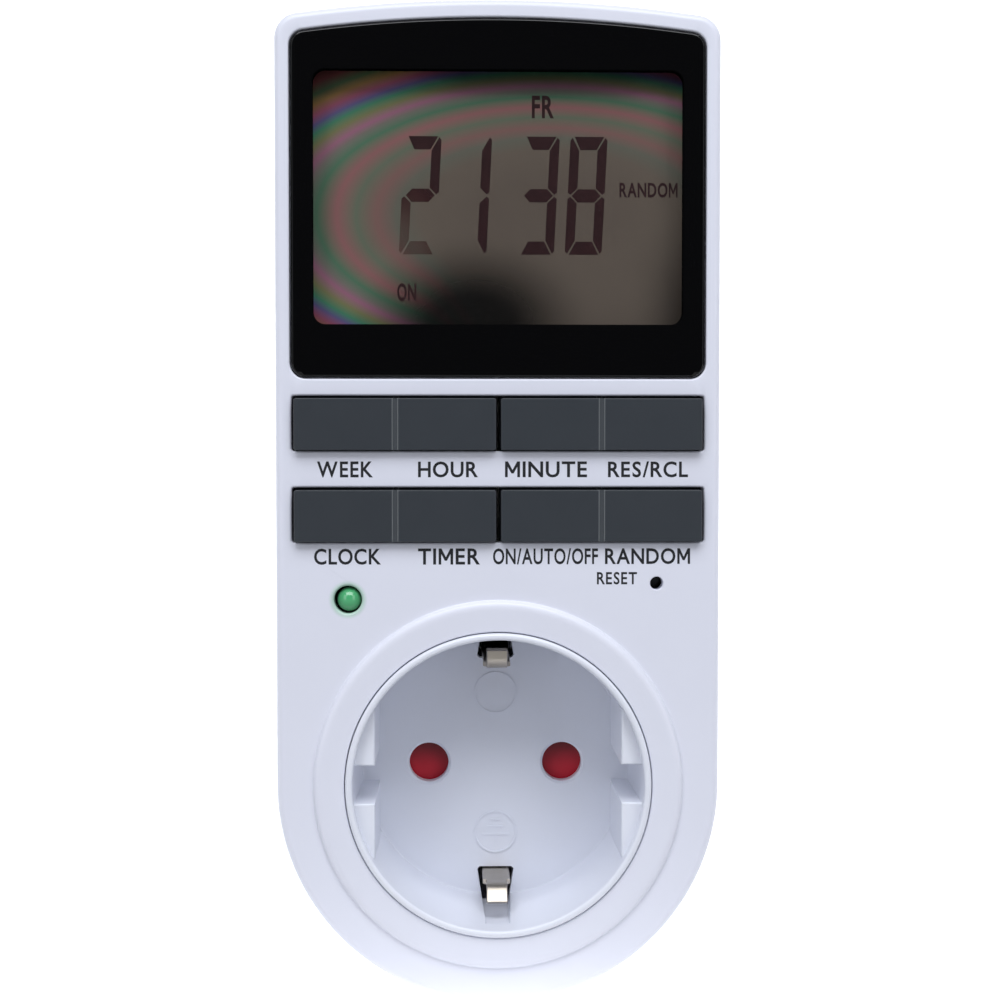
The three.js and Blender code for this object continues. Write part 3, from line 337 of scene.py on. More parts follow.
# %% [markdown]
# ## Shader maths
# Node trees are hard to read as lists of links. Here one small class wraps a socket so that ordinary
# Python expressions build the Math nodes, and one method adds any other node.

# %% A finish and its values
class Value:
    """One output socket that can be used in arithmetic."""

    def __init__(self, finish, socket):
        self.finish = finish
        self.socket = socket

    def maths(self, operation, first, second):
        return self.finish.node("ShaderNodeMath", {"operation": operation}, {0: first, 1: second})

    def __add__(self, other):
        return self.maths("ADD", self, other)

    def __radd__(self, other):
        return self.maths("ADD", other, self)

    def __sub__(self, other):
        return self.maths("SUBTRACT", self, other)

    def __rsub__(self, other):
        return self.maths("SUBTRACT", other, self)

    def __mul__(self, other):
        return self.maths("MULTIPLY", self, other)

    def __rmul__(self, other):
        return self.maths("MULTIPLY", other, self)

    def __truediv__(self, other):
        return self.maths("DIVIDE", self, other)

    def __rtruediv__(self, other):
        return self.maths("DIVIDE", other, self)

    def __neg__(self):
        return self.maths("MULTIPLY", self, -1.0)

    def __pow__(self, other):
        return self.maths("POWER", self, other)

    def __abs__(self):
        return self.maths("ABSOLUTE", self, 0.0)

    def at_least(self, other):
        return self.maths("MAXIMUM", self, other)


def srgb(red, green, blue):
    """A colour given as 0 to 255 screen values, in the linear form that shaders use."""
    def linear(c):
        c = c / 255
        return c / 12.92 if c <= 0.04045 else ((c + 0.055) / 1.055) ** 2.4
    return (linear(red), linear(green), linear(blue), 1.0)


class Finish:
    """A material whose constants sit on the shader's own sockets, and whose variation is procedural."""

    def __init__(self, name, colour, roughness, metallic=0.0, **constants):
        self.material = bpy.data.materials.new(name)
        self.material.use_nodes = True
        self.tree = self.material.node_tree
        self.shader = next(n for n in self.tree.nodes if n.type == "BSDF_PRINCIPLED")
        self.shader.inputs["Base Color"].default_value = colour
        self.shader.inputs["Roughness"].default_value = roughness
        self.shader.inputs["Metallic"].default_value = metallic
        for socket, number in constants.items():
            self.shader.inputs[socket.replace("_", " ")].default_value = number
        self.place = self.node("ShaderNodeTexCoord", output="Object")

    def node(self, kind, settings=None, inputs=None, output=0):
        """Adds any node. Settings are set first, then each input takes a number, a colour or a Value."""
        made = self.tree.nodes.new(kind)
        for key, setting in (settings or {}).items():
            if key == "stops":
                self.set_stops(made.color_ramp, setting)
            else:
                setattr(made, key, setting)
        for key, given in (inputs or {}).items():
            if isinstance(given, Value):
                self.tree.links.new(given.socket, made.inputs[key])
            else:
                made.inputs[key].default_value = given
        return Value(self, made.outputs[output])

    @staticmethod
    def set_stops(ramp, stops):
        while len(ramp.elements) < len(stops):
            ramp.elements.new(1.0)
        for element, (position, colour) in zip(ramp.elements, stops):
            element.position = position
            element.color = colour

    def noise(self, size, detail=2.0):
        """Soft random values around 0.5; size is the width of a blotch in millimetres."""
        settings = {"noise_dimensions": "3D"}
        inputs = {"Vector": self.place, "Scale": 1 / (size * MM), "Detail": detail}
        return self.node("ShaderNodeTexNoise", settings, inputs)

    def mix(self, factor, first, second):
        """A colour between two colours."""
        settings = {"data_type": "RGBA", "clamp_factor": True}
        return self.node("ShaderNodeMix", settings, {0: factor, 6: first, 7: second}, output=2)

    def ramp(self, value, low, high):
        """0 below low, 1 above high, smooth between."""
        settings = {"interpolation_type": "SMOOTHSTEP"}
        inputs = {"Value": value, "From Min": low, "From Max": high}
        return self.node("ShaderNodeMapRange", settings, inputs)

    def where(self):
        """The place on the object, as x, y and z in metres."""
        made = self.tree.nodes.new("ShaderNodeSeparateXYZ")
        self.tree.links.new(self.place.socket, made.inputs[0])
        return [Value(self, made.outputs[i]) for i in range(3)]

    def drive(self, socket, value):
        self.tree.links.new(value.socket, self.shader.inputs[socket])

    def bump(self, height, depth, strength=1.0):
        """Relief of a real depth in millimetres."""
        inputs = {"Strength": strength, "Distance": depth * MM, "Height": height}
        self.drive("Normal", self.node("ShaderNodeBump", {}, inputs))


# %% [markdown]
# ## Finishes
# The case is injection-moulded ABS. Its mould was lightly spark-eroded, which leaves a very fine even grain,
# and the white has a cool tint. Handling leaves faint changes of gloss that are wider than the grain. The
# same recipe, with other colours, grain and gloss, serves every moulded piece.

# %% Moulded plastics
def moulded(name, colour, roughness, grain=0.16, relief=0.006, tone=0.03, gloss=0.08, **constants):
    """A moulded plastic: fine grain in relief, blotches of tone, patches of gloss."""
    finish = Finish(name, colour, roughness, **constants)
    blotch = finish.noise(9.0, 3.0)
    darker = tuple(c * (1 - 2 * tone) for c in colour[:3]) + (1.0,)
    lighter = tuple(min(c * (1 + tone), 1.0) for c in colour[:3]) + (1.0,)
    finish.drive("Base Color", finish.mix(blotch, darker, lighter))
    finish.drive("Roughness", roughness - gloss / 2 + gloss * finish.noise(4.0, 4.0))
    finish.bump(finish.noise(grain, 1.0), relief)
    return finish


CASE_WHITE = srgb(226, 228, 240)
case_finish = moulded("case_white", CASE_WHITE, 0.36, relief=0.004, tone=0.008)
rear_finish = moulded("rear_white", CASE_WHITE, 0.46, relief=0.007, tone=0.01)
insert_finish = moulded("insert_white", srgb(228, 231, 241), 0.30, grain=0.3, relief=0.003, tone=0.006)
key_finish = moulded("key_grey", srgb(48, 53, 59), 0.42, grain=0.1, relief=0.006, tone=0.03)
carrier_finish = moulded("carrier_grey", srgb(84, 88, 92), 0.55)
holder_finish = moulded("holder_white", srgb(214, 216, 214), 0.5)
switch_finish = moulded("switch_grey", srgb(142, 146, 150), 0.5)
epoxy_finish = moulded("epoxy_black", srgb(18, 18, 19), 0.33, grain=0.5, relief=0.02)
relay_finish = moulded("relay_blue", srgb(30, 76, 150), 0.35)
capacitor_finish = moulded("capacitor_red", srgb(140, 40, 40), 0.4)
sleeve_finish = moulded("sleeve_black", srgb(20, 21, 24), 0.42, grain=0.8, relief=0.01)
varistor_finish = moulded("varistor_blue", srgb(40, 86, 166), 0.45, grain=0.6, relief=0.02)
resistor_finish = moulded("resistor_blue", srgb(110, 162, 194), 0.45)
silicone_finish = moulded("silicone_grey", srgb(198, 198, 192), 0.7)
zebra_finish = moulded("zebra_pink", srgb(182, 138, 138), 0.7)
brown_finish = moulded("wire_brown", srgb(106, 58, 32), 0.48)
blue_finish = moulded("wire_blue", srgb(34, 68, 156), 0.48)
ribbon_finish = moulded("ribbon_grey", srgb(152, 156, 160), 0.5)
print("moulded finishes ready")

# %% [markdown]
# The lamp is a green epoxy dome. The white round its hole is painted a little green, as painted light of the
# lamp spreading into the plastic. It is part of the case's own colour, and fades out within a millimetre of
# the hole's edge.

# %% Painted green light round the lamp
led_low, led_high = (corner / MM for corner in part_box("status_led"))
LED_X = (led_low.x + led_high.x) / 2
LED_Z = (led_low.z + led_high.z) / 2


def paint_lamp_light(finish):
    # Painted light: a green tint round the lamp's hole, from the lamp's light, mixed into the case's colour.
    x, _, z = finish.where()
    across = x - LED_X * MM
    up = z - LED_Z * MM
    distance = (across * across + up * up) ** 0.5
    amount = 0.5 * (1 - finish.ramp(distance, 1.9 * MM, 2.7 * MM))
    plain = finish.shader.inputs["Base Color"].links[0].from_socket
    tinted = finish.mix(amount, Value(finish, plain), srgb(120, 190, 140))
    finish.drive("Base Color", tinted)


paint_lamp_light(case_finish)
print("lamp at", round(LED_X, 2), round(LED_Z, 2))

# %% [markdown]
# ## Metals
# Screws are zinc plated, the earth clips and pins nickel plated over brass, and the hidden contacts bare
# brass. Rolled and stamped metal has fine lines along the strip and small changes of gloss.

# %% Metals
def metal(name, colour, roughness, grain=0.25, relief=0.002, variation=0.12):
    finish = Finish(name, colour, roughness, 1.0)
    smear = finish.noise(1.6, 4.0)
    darker = tuple(c * 0.82 for c in colour[:3]) + (1.0,)
    finish.drive("Base Color", finish.mix(smear, darker, colour))
    finish.drive("Roughness", roughness - variation / 2 + variation * finish.noise(0.7, 5.0))
    stretched = finish.node("ShaderNodeMapping", {}, {"Vector": finish.place, "Scale": (1.0, 0.08, 1.0)})
    inputs = {"Vector": stretched, "Scale": 1 / (grain * MM), "Detail": 3.0}
    finish.bump(finish.node("ShaderNodeTexNoise", {}, inputs), relief)
    return finish


steel_finish = metal("zinc_plate", srgb(196, 198, 200), 0.34)
nickel_finish = metal("nickel_plate", srgb(214, 204, 188), 0.26)
clip_finish = metal("tarnished_nickel", srgb(178, 170, 158), 0.30)
brass_finish = metal("brass", srgb(204, 164, 92), 0.32)
print("metals ready")

# %% [markdown]
# ## Circuit boards
# Green solder mask over copper: the tracks show as slightly lighter bands. Two crossed bands of noise that
# are cut to steps read as routed tracks from any distance.

# %% Circuit board
def circuit_board(name):
    finish = Finish(name, srgb(24, 84, 50), 0.35)
    x, _, z = finish.where()
    inputs = {"Vector": finish.place, "Scale": 1 / (2.5 * MM)}
    cells = finish.node("ShaderNodeTexVoronoi", {"feature": "F1", "distance": "CHEBYCHEV"}, inputs)
    track = finish.ramp(cells, 0.35, 0.42)
    finish.drive("Base Color", finish.mix(track, srgb(22, 74, 44), srgb(44, 116, 70)))
    finish.drive("Roughness", 0.3 + 0.15 * finish.noise(2.0))
    finish.bump(track, 0.02)
    return finish


board_finish = circuit_board("board_green")
print("board ready")

# %% [markdown]
# ## The front cover
# One injection moulding: a flat front with a rounded rim, a stepped pocket for the display window, two long
# openings for the keys, and a raised collar round the socket. The parting edge has a tiny step, so that the
# joint with the rear cover reads as a fine shadow line.

# %% Front cover
EDGE = 1.0
CLEARANCE = 0.2
LENS_POCKET = 1.55
KEY_ROWS = [48.22, 36.08]
KEY_OPENING = 7.33
LED_HOLE = 1.85
RESET_X = 21.12
RESET_Z = 26.93
COLLAR_BORE = RIM_OUTER + 0.12
SHOULDER = 0.58
SHOULDER_STRETCH = 2.1
WINDOW_HALF = glass_high.x - 0.9
WINDOW_MIDDLE = (glass_low.z + glass_high.z) / 2
WINDOW_HALF_HEIGHT = (glass_high.z - glass_low.z) / 2 - 0.3
SCREW_PLACES = [[(lo + hi) / 2 / MM for lo, hi in zip(*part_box(f"case_screw_{n}"))] for n in range(1, 5)]


def opening(part, outline, radius, end):
    """A hole through the front: its rounded mouth first, then its wall down to end."""
    loops = hole_rings(part, outline, FRONT, radius)
    loops.append(part.level(outline(0), end))
    part.wall(*loops)
    return loops[0], loops[-1]


def front_cover():
    part = Moulding()
    rim = [part.level(body_outline(inset), FRONT + depth) for inset, depth in quarter(EDGE, 7)]
    side = part.level(body_outline(0), PARTING - 0.18)
    step = part.level(body_outline(0.15), PARTING)
    mouth = part.level(body_outline(WALL), PARTING)
    inside = part.level(body_outline(WALL), PANEL)
    part.wall(*rim, side, step, mouth, inside)

    front_holes = []
    back_holes = []
    first, ledge = opening(part, lambda grow: lens_outline(CLEARANCE + grow), 0.3, FRONT + LENS_POCKET)
    window = [
        part.level(rounded_box(0, WINDOW_MIDDLE, WINDOW_HALF, WINDOW_HALF_HEIGHT, 0.6), y)
        for y in (FRONT + LENS_POCKET, PANEL)
    ]
    part.flat(ledge, [window[0]])
    part.wall(*window)
    front_holes.append(first)
    back_holes.append(window[1])

    holes = [
        (lambda grow, z=z: rounded_box(0, z, LENS_HALF + grow, KEY_OPENING / 2 + grow, 0.35 + grow), 0.3)
        for z in KEY_ROWS
    ]
    holes.append((lambda grow: circle(LED_X, LED_Z, LED_HOLE + grow), 0.35))
    holes.append((lambda grow: circle(RESET_X, RESET_Z, 0.88 + grow, 32), 0.12))
    for outline, radius in holes:
        first, last = opening(part, outline, radius, PANEL)
        front_holes.append(first)
        back_holes.append(last)

    base = part.level(circle(0, 0, COLLAR + 0.25, 160), FRONT)
    foot = part.level(circle(0, 0, COLLAR + 0.07, 160), FRONT - 0.07)
    wall = part.level(circle(0, 0, COLLAR, 160), FRONT - 0.2)
    top = FRONT - COLLAR_PROUD
    shoulder = [
        part.level(circle(0, 0, COLLAR - SHOULDER_STRETCH * i, 160), top + d)
        for i, d in reversed(quarter(SHOULDER, 8))
    ]
    lip = [part.level(circle(0, 0, COLLAR_BORE + i, 160), top + d) for i, d in quarter(0.2, 4)]
    end = part.level(circle(0, 0, COLLAR_BORE, 160), PANEL)
    part.wall(base, foot, wall, *shoulder, *lip, end)
    front_holes.append(base)
    back_holes.append(end)

    part.flat(rim[0], front_holes)
    part.flat(inside, back_holes)
    for x, _, z in SCREW_PLACES:
        tube = [
            part.level(circle(x, z, r, 32), y)
            for r, y in ((2.1, PANEL - 0.3), (2.1, PARTING - 0.2), (1.45, PARTING - 0.2), (1.45, PARTING - 9))
        ]
        part.wall(*tube)
        part.faces.append(tuple(tube[0]))
        part.faces.append(tuple(tube[-1]))
    return part.mesh("front_cover_shell")


place(front_cover(), "front_cover_shell", case_finish, replaces=["front_cover"])

# %% [markdown]
# ## The rear cover and the plug
# The rear cover carries the round plug body. The plug has flats and ribs at its sides and a groove at its
# top and bottom, where the wall socket's spring contacts reach the earth strip. Four screws sit deep in
# counterbores. This is the side nobody looks at, so the finish is a little duller.

# %% Rear cover
PLUG = 18.3
PLUG_FLAT = 16.2
PLUG_RIB = 17.9
RIB_HALF = 2.3


def plug_outline(inset):
    radius = PLUG - inset
    flat = PLUG_FLAT - inset
    reach = PLUG_RIB - inset
    rib = RIB_HALF - inset
    turn = math.acos(flat / radius)
    top = arc(0, 0, radius, turn, math.pi - turn, 40)
    bottom = arc(0, 0, radius, math.pi + turn, 2 * math.pi - turn, 40)
    left = [(-flat, rib), (-reach, rib), (-reach, -rib), (-flat, -rib)]
    right = [(flat, -rib), (reach, -rib), (reach, rib), (flat, rib)]
    return top + left + bottom + right


def rear_shell():
    part = Moulding()
    step = part.level(body_outline(0.15), PARTING)
    side = part.level(body_outline(0), PARTING + 0.18)
    rim = [part.level(body_outline(i), REAR - d) for i, d in reversed(quarter(EDGE, 7))]
    lip_outer = [part.level(body_outline(WALL + 0.3), y) for y in (PARTING, PARTING - 2.2)]
    lip_inner = [part.level(body_outline(WALL + 1.3), y) for y in (PARTING - 2.2, REAR_INNER)]
    part.wall(*reversed(rim), side, step, *lip_outer, *lip_inner)
    part.flat(rim[-1])
    part.flat(lip_inner[-1])
    return temporary(part.mesh("rear_cover_shell"))


def plug_solid(inset, start, end, edge):
    part = Moulding()
    loops = [part.level(plug_outline(inset), start)]
    loops += [part.level(plug_outline(inset + i), end - d) for i, d in reversed(quarter(edge, 5))]
    part.wall(*loops)
    part.flat(loops[0])
    part.flat(loops[-1])
    return temporary(part.mesh("plug"))


def cylinder(x, z, radius, start, end, mouth=0.0, steps=40):
    """A round cutter or boss. mouth widens its far end, which chamfers the edge of the hole it cuts."""
    profile = [(radius, start), (radius, end - mouth), (radius + mouth, end)] if mouth else [
        (radius, start), (radius, end)]
    return temporary(turned("round", x, z, profile, steps))


rear = rear_shell()
bosses = [cylinder(x, z, 3.2 if z < 0 else 2.85, PARTING + 0.2, REAR_INNER + 0.4) for x, _, z in SCREW_PLACES]
combine(rear, [*bosses, plug_solid(0, REAR_INNER + 0.1, 0, 0.8)], "UNION")
grooves = [
    temporary(bar("groove", (-2.3, REAR_INNER - 1, min(s * 14.4, s * 19)), (2.3, 1, max(s * 14.4, s * 19))))
    for s in (-1, 1)
]
pin_holes = [cylinder(s * PIN_X, 0, 2.6, -6, 0.5) for s in (-1, 1)]
SEAT = REAR - 10.7
counterbores = [cylinder(x, z, 2.75, SEAT, REAR + 0.1, 0.35) for x, _, z in SCREW_PLACES]
clear_holes = [cylinder(x, z, 1.7, PARTING - 3, SEAT + 1) for x, _, z in SCREW_PLACES]
combine(rear, [plug_solid(2.0, REAR_INNER - 1, -3.2, 0.3), *grooves], "DIFFERENCE")
combine(rear, [*pin_holes, *counterbores, *clear_holes], "DIFFERENCE")
place(rear, "rear_cover_shell", rear_finish, replaces=["rear_cover"])

# %% [markdown]
# ## The socket insert
# A separate moulding drops into the collar from behind: a rim, a round recess with a little draft, and a
# flat floor. On each side stand two guide blocks with a notch between them, which is where an earthed plug
# is centred. Slots at the top and bottom let the earth contacts through, and each pin hole has a lead-in.
# Two small raised rings lie on the floor. The upper one is blank and the lower one frames the earth sign.

# %% Socket insert
FLOOR_RADIUS = RECESS - 0.4
GUIDE_FLAT = RECESS - 2.95
GUIDE_TOP = RIM + 1.6
GUIDE_HALF = 10.0
NOTCH_HALF = 2.55
SLOT_HALF = 2.6
SLOT_INNER = 15.0
SLOT_OUTER = RECESS + 0.6
SLOT_CORNER = 0.35
SIGN_Z = 10.0
SIGN_BARS = [(1.75, 0.67), (0.74, 1.14), (-0.34, 1.93)]
SIGN_FOOT = -1.34
SIGN_LINE = 0.13
SIGN_PROUD = 0.12


def insert_tube():
    lip = [(RIM_OUTER - i, RIM + d) for i, d in reversed(quarter(0.45, 6))]
    mouth = [(RECESS + i, RIM + d) for i, d in quarter(0.4, 6)]
    foot = [(FLOOR_RADIUS + inset, FLOOR - up) for inset, up in ((0.02, 0.35), (-0.1, 0.1), (-0.35, 0))]
    profile = [(RIM_OUTER - 0.6, FLOOR_BACK), (RIM_OUTER, FLOOR_BACK - 1), *lip, *mouth, *foot]
    return temporary(turned("socket_insert_moulding", 0, 0, profile, 160))


def guide_block(side, low, high):
    """A block between two heights, from the recess wall to a flat face, with rounded front edges."""
    def outline(inset):
        reach = RECESS + 0.35
        z0 = low + inset
        z1 = high - inset
        start = math.asin(z0 / reach)
        end = math.asin(z1 / reach)
        back = [(side * x, z) for x, z in arc(0, 0, reach, start, end, 10)]
        face = side * (GUIDE_FLAT + inset)
        return [(face, z0), *back, (face, z1)]
    return temporary(slab("guide", outline, GUIDE_TOP, FLOOR + 0.4, 0.3))


def tapered_slot(side):
    """The slot is widest at its inner end on the floor, and narrows outwards and towards the rim."""
    part = Moulding()
    loops = []
    for half, y in [(1.50, RIM + 3.5), (1.86, FLOOR), (1.86, FLOOR_BACK + 1)]:
        corner = [(SLOT_HALF - SLOT_CORNER, SLOT_INNER), (SLOT_HALF, SLOT_INNER + SLOT_CORNER)]
        right = [*corner, (half, SLOT_OUTER)]
        left = [(-x, z) for x, z in reversed(right)]
        loops.append(part.level([(x, side * z) for x, z in right + left], y))
    part.wall(*loops)
    part.flat(loops[0])
    part.flat(loops[-1])
    return temporary(part.mesh("slot"))


def raised_ring(z):
    """A thin ring that stands a little proud of the floor."""
    part = Moulding()
    section = [(2.8, FLOOR + 0.3), (2.8, FLOOR - 0.15), (3.02, FLOOR - 0.15), (3.02, FLOOR + 0.3)]
    loops = [part.level(circle(0, z, r), y) for r, y in section]
    part.wall(*loops, loops[0])
    return temporary(part.mesh("ring"))


def sign_bar(half, low, high):
    low_corner = (-half, FLOOR - SIGN_PROUD, low - SIGN_Z)
    return temporary(bar("sign", low_corner, (half, FLOOR + 0.3, high - SIGN_Z)))


insert = insert_tube()
stretches = [(NOTCH_HALF, GUIDE_HALF), (-GUIDE_HALF, -NOTCH_HALF)]
solids = [guide_block(s, low, high) for s in (-1, 1) for low, high in stretches]
solids += [raised_ring(z) for z in (-SIGN_Z, SIGN_Z)]
solids += [sign_bar(half, z - SIGN_LINE, z + SIGN_LINE) for z, half in SIGN_BARS]
solids.append(sign_bar(SIGN_LINE, SIGN_FOOT, SIGN_BARS[-1][0]))
combine(insert, solids, "UNION")
slots = [tapered_slot(s) for s in (-1, 1)]
pin_profile = [(3.25, FLOOR - 0.1), (2.8, FLOOR + 0.35), (2.8, FLOOR_BACK + 1)]
pins = [temporary(turned("hole", s * PIN_X, 0, pin_profile, 64)) for s in (-1, 1)]
combine(insert, [*slots, *pins], "DIFFERENCE")
place(insert, "socket_insert_moulding", insert_finish, replaces=["socket_insert"])

# %% [markdown]
# ## The keys
# Four twin caps. Each is satin grey plastic with crisp edges. Two thin lighter lines are painted down its
# middle, either side of a shallow groove, with a faintly lighter band between them. A cap sits a little low
# in its opening, so the shadow above it is wider than the one below.

# %% Keys
KEY_NODES = ["key_week_hour", "key_minute_recall", "key_clock_timer", "key_mode_random"]
KEY_FLANGE = 1.0
KEY_GAP_TOP = 0.35
KEY_GAP_BOTTOM = 0.12
GROOVE_X = 13.675
GROOVE_HALF = 0.36
GROOVE_LINE = 0.07


def lighten_groove_edges(finish):
    """The lighter lines at both sides of each groove, and the faintly lighter band between them."""
    x, _, _ = finish.where()
    from_middle = abs(abs(x) - GROOVE_X * MM)
    line = 1 - finish.ramp(abs(from_middle - GROOVE_HALF * MM), GROOVE_LINE / 2 * MM, 1.4 * GROOVE_LINE * MM)
    band = 1 - finish.ramp(from_middle, (GROOVE_HALF - 0.05) * MM, GROOVE_HALF * MM)
    plain = Value(finish, finish.shader.inputs["Base Color"].links[0].from_socket)
    finish.drive("Base Color", finish.mix(0.55 * line + 0.12 * band, plain, srgb(128, 132, 134)))


def key_cap(node):
    low, high = (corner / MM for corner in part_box(node))
    middle = (low.x + high.x) / 2
    height = (low.z + high.z) / 2
    half = (high.x - low.x) / 2
    half_height = (KEY_OPENING - KEY_GAP_TOP - KEY_GAP_BOTTOM) / 2
    cap_middle = height + (KEY_GAP_BOTTOM - KEY_GAP_TOP) / 2
    flange_half = KEY_OPENING / 2 + 0.55
    flange_y = high.y - 0.2 - KEY_FLANGE

    def outline(inset):
        corner = max(0.3 - inset, 0.12)
        return rounded_box(middle, cap_middle, half - 0.06 - inset, half_height - inset, corner)

    cap = temporary(slab(node, outline, low.y, flange_y + 0.3, 0.12))
    flange = bar("flange", (low.x, flange_y, height - flange_half),
                 (high.x, flange_y + KEY_FLANGE, height + flange_half), 0.1)
    pivot = bmesh.new()
    bmesh.ops.create_cone(pivot, cap_ends=True, segments=24, radius1=0.7 * MM, radius2=0.7 * MM,
                          depth=(high.z - low.z) * MM)
    bmesh.ops.translate(pivot, verts=pivot.verts, vec=Vector((middle, high.y - 0.7, height)) * MM)
    trunnion = bpy.data.meshes.new("trunnion")
    pivot.to_mesh(trunnion)
    pivot.free()
    combine(cap, [temporary(flange), temporary(trunnion)], "UNION")

    groove = Moulding()
    section = [(-GROOVE_HALF, -0.1), (GROOVE_HALF, -0.1), (0.28, 0.1), (-0.28, 0.1)]
    ends = [
        groove.loop([(middle + x, low.y + y, height + z) for x, y in section])
        for z in (-KEY_OPENING, KEY_OPENING)
    ]
    groove.wall(*ends)
    groove.faces += [tuple(end) for end in ends]
    combine(cap, [temporary(groove.mesh("groove"))], "DIFFERENCE")
    return cap


lighten_groove_edges(key_finish)
for node in KEY_NODES:
    place(key_cap(node), f"{node}_cap", key_finish, f"{node}_body", [node])

# %% [markdown]
# ## The display window
# A clear acrylic plate with a black border printed round a rounded rectangle. It is one piece, so the gloss
# runs without a break over both parts. A mask made from the place on the plate decides where it is printed.
# The edge has a small polished chamfer.

# %% Display window
VIEW_HALF = 24.5
VIEW_LOW = 61.3
VIEW_HIGH = 94.8
VIEW_CORNER = 1.7


def lens_finish():
    finish = Finish("lens_black", srgb(4, 4, 5), 0.06, IOR=1.49, Specular_IOR_Level=0.5)
    x, _, z = finish.where()
    half_height = (VIEW_HIGH - VIEW_LOW) / 2
    middle = (VIEW_HIGH + VIEW_LOW) / 2

    def beyond(value, reach):
        return (abs(value) - (reach - VIEW_CORNER) * MM).at_least(0.0)

    across = beyond(x, VIEW_HALF)
    up = beyond(z - middle * MM, half_height)
    distance = (across * across + up * up) ** 0.5
    printed = finish.ramp(distance, (VIEW_CORNER - 0.04) * MM, (VIEW_CORNER + 0.04) * MM)
    finish.drive("Alpha", printed * 0.97 + 0.03)
    finish.drive("Roughness", 0.05 + 0.05 * finish.noise(6.0, 5.0))
    return finish


lens = Moulding()
chamfer = [(0.28, 0.0), (0.22, 0.015), (0.05, 0.14), (0.0, 0.2)]
rings = [lens.level(lens_outline(-inset), lens_low.y + depth) for inset, depth in chamfer]
rings.append(lens.level(lens_outline(0), lens_high.y))
lens.wall(*rings)
lens.flat(rings[0])
lens.flat(rings[-1])
plate = lens.mesh("display_lens_plate")
place(plate, "display_lens_plate", lens_finish(), replaces=["display_lens"])

# %% [markdown]
# ## The display glass
# Behind the window lies a liquid-crystal cell. Seen through its polarisers, the slightly stressed acrylic
# shows rings of colour: saturated and narrow far from the centre, pale and wide nearer to it. They are drawn
# as one family of ovals, with the colours set in order along a ramp. The middle is the plain grey-brown of
# an unlit cell. The darker oval at the bottom, the darker top and lower right, and the fading of the rings
# there are painted patches: they imitate reflections, and are no property of the glass.

# %% Display glass
RING_CENTRE = (7.05, 76.0)
RING_HALF_WIDTH = 31.2
RING_HALF_HEIGHT = 15.75
RING_GAIN = 1.38
RING_STOPS = [
    (0.30, (80, 72, 65)), (0.56, (84, 76, 68)), (0.66, (82, 82, 73)), (0.745, (104, 78, 74)),
    (0.835, (82, 90, 76)), (0.92, (118, 80, 80)), (1.005, (66, 96, 76)), (1.06, (96, 92, 86)),
    (1.10, (126, 84, 102)), (1.16, (100, 100, 70)), (1.215, (58, 106, 82)), (1.26, (78, 72, 108)),
    (1.31, (122, 66, 84)), (1.37, (112, 86, 52)), (1.43, (56, 72, 50)), (1.50, (78, 42, 42)),
    (1.60, (48, 26, 24)),
]


def glass_finish():
    finish = Finish("lcd_glass", srgb(88, 78, 72), 0.2, Coat_Weight=0.6, Coat_Roughness=0.05)
    x, _, z = finish.where()
    wobble = 0.02 * (finish.noise(14.0, 1.0) - 0.5)
    across = (x - RING_CENTRE[0] * MM) / (RING_HALF_WIDTH * MM)
    up = (z - RING_CENTRE[1] * MM) / (RING_HALF_HEIGHT * MM)
    order = (across * across + up * up) ** 0.5 + wobble
    quiet = finish.ramp(x, -10 * MM, 4 * MM) * finish.ramp(-z, -77 * MM, -69 * MM)
    order = order * (1 - quiet) + 0.4 * quiet
    scale = 1.7
    stops = [(place_along / scale, tuple(c * RING_GAIN for c in srgb(*colour)[:3]) + (1.0,))
             for place_along, colour in RING_STOPS]
    rings_colour = finish.node("ShaderNodeValToRGB", {"stops": stops}, {"Fac": order / scale})
    top_shade = finish.ramp(z, 91.0 * MM, 94.5 * MM) * finish.ramp(x, -16 * MM, -4 * MM)
    low_x = (x + 3.5 * MM) / (13 * MM)
    low_z = (z - 61.5 * MM) / (9.5 * MM)
    pool = finish.ramp((low_x * low_x + low_z * low_z) ** 0.5, 0.35, 1.35)
    side_shade = finish.ramp(x, 17 * MM, 26 * MM) * finish.ramp(-z, -78 * MM, -62 * MM)
    shade = (1 - 0.7 * top_shade) * (0.03 + 0.97 * pool) * (1 - 0.6 * side_shade)
    finish.drive("Base Color", finish.mix(shade, srgb(4, 4, 4), rings_colour))
    finish.drive("Roughness", 0.18 + 0.06 * finish.noise(3.0))
    return finish


glass = bar("lcd_glass_cell", tuple(glass_low), tuple(glass_high), 0.12)
place(glass, "lcd_glass_cell", glass_finish(), replaces=["lcd_glass"])

# %% [markdown]
# ## Numbers and words of the display
# Seven-segment digits with mitred ends, leaning a little to the right. Each segment is its own thin
# polygon, and the digits share one table of which segments are lit. The first digit is painted fainter
# towards its foot, to imitate a reflection over it.

# %% Display segments
INK_Y = glass_low.y
INK = 0.02
LEAN = math.tan(math.radians(2.9))
DIGIT_BASE = 70.85
DIGIT_HEIGHT = 15.7
DIGIT_WIDTH = 4.95
STEM = 1.25
BEAM = 1.75
MITRE = 0.14


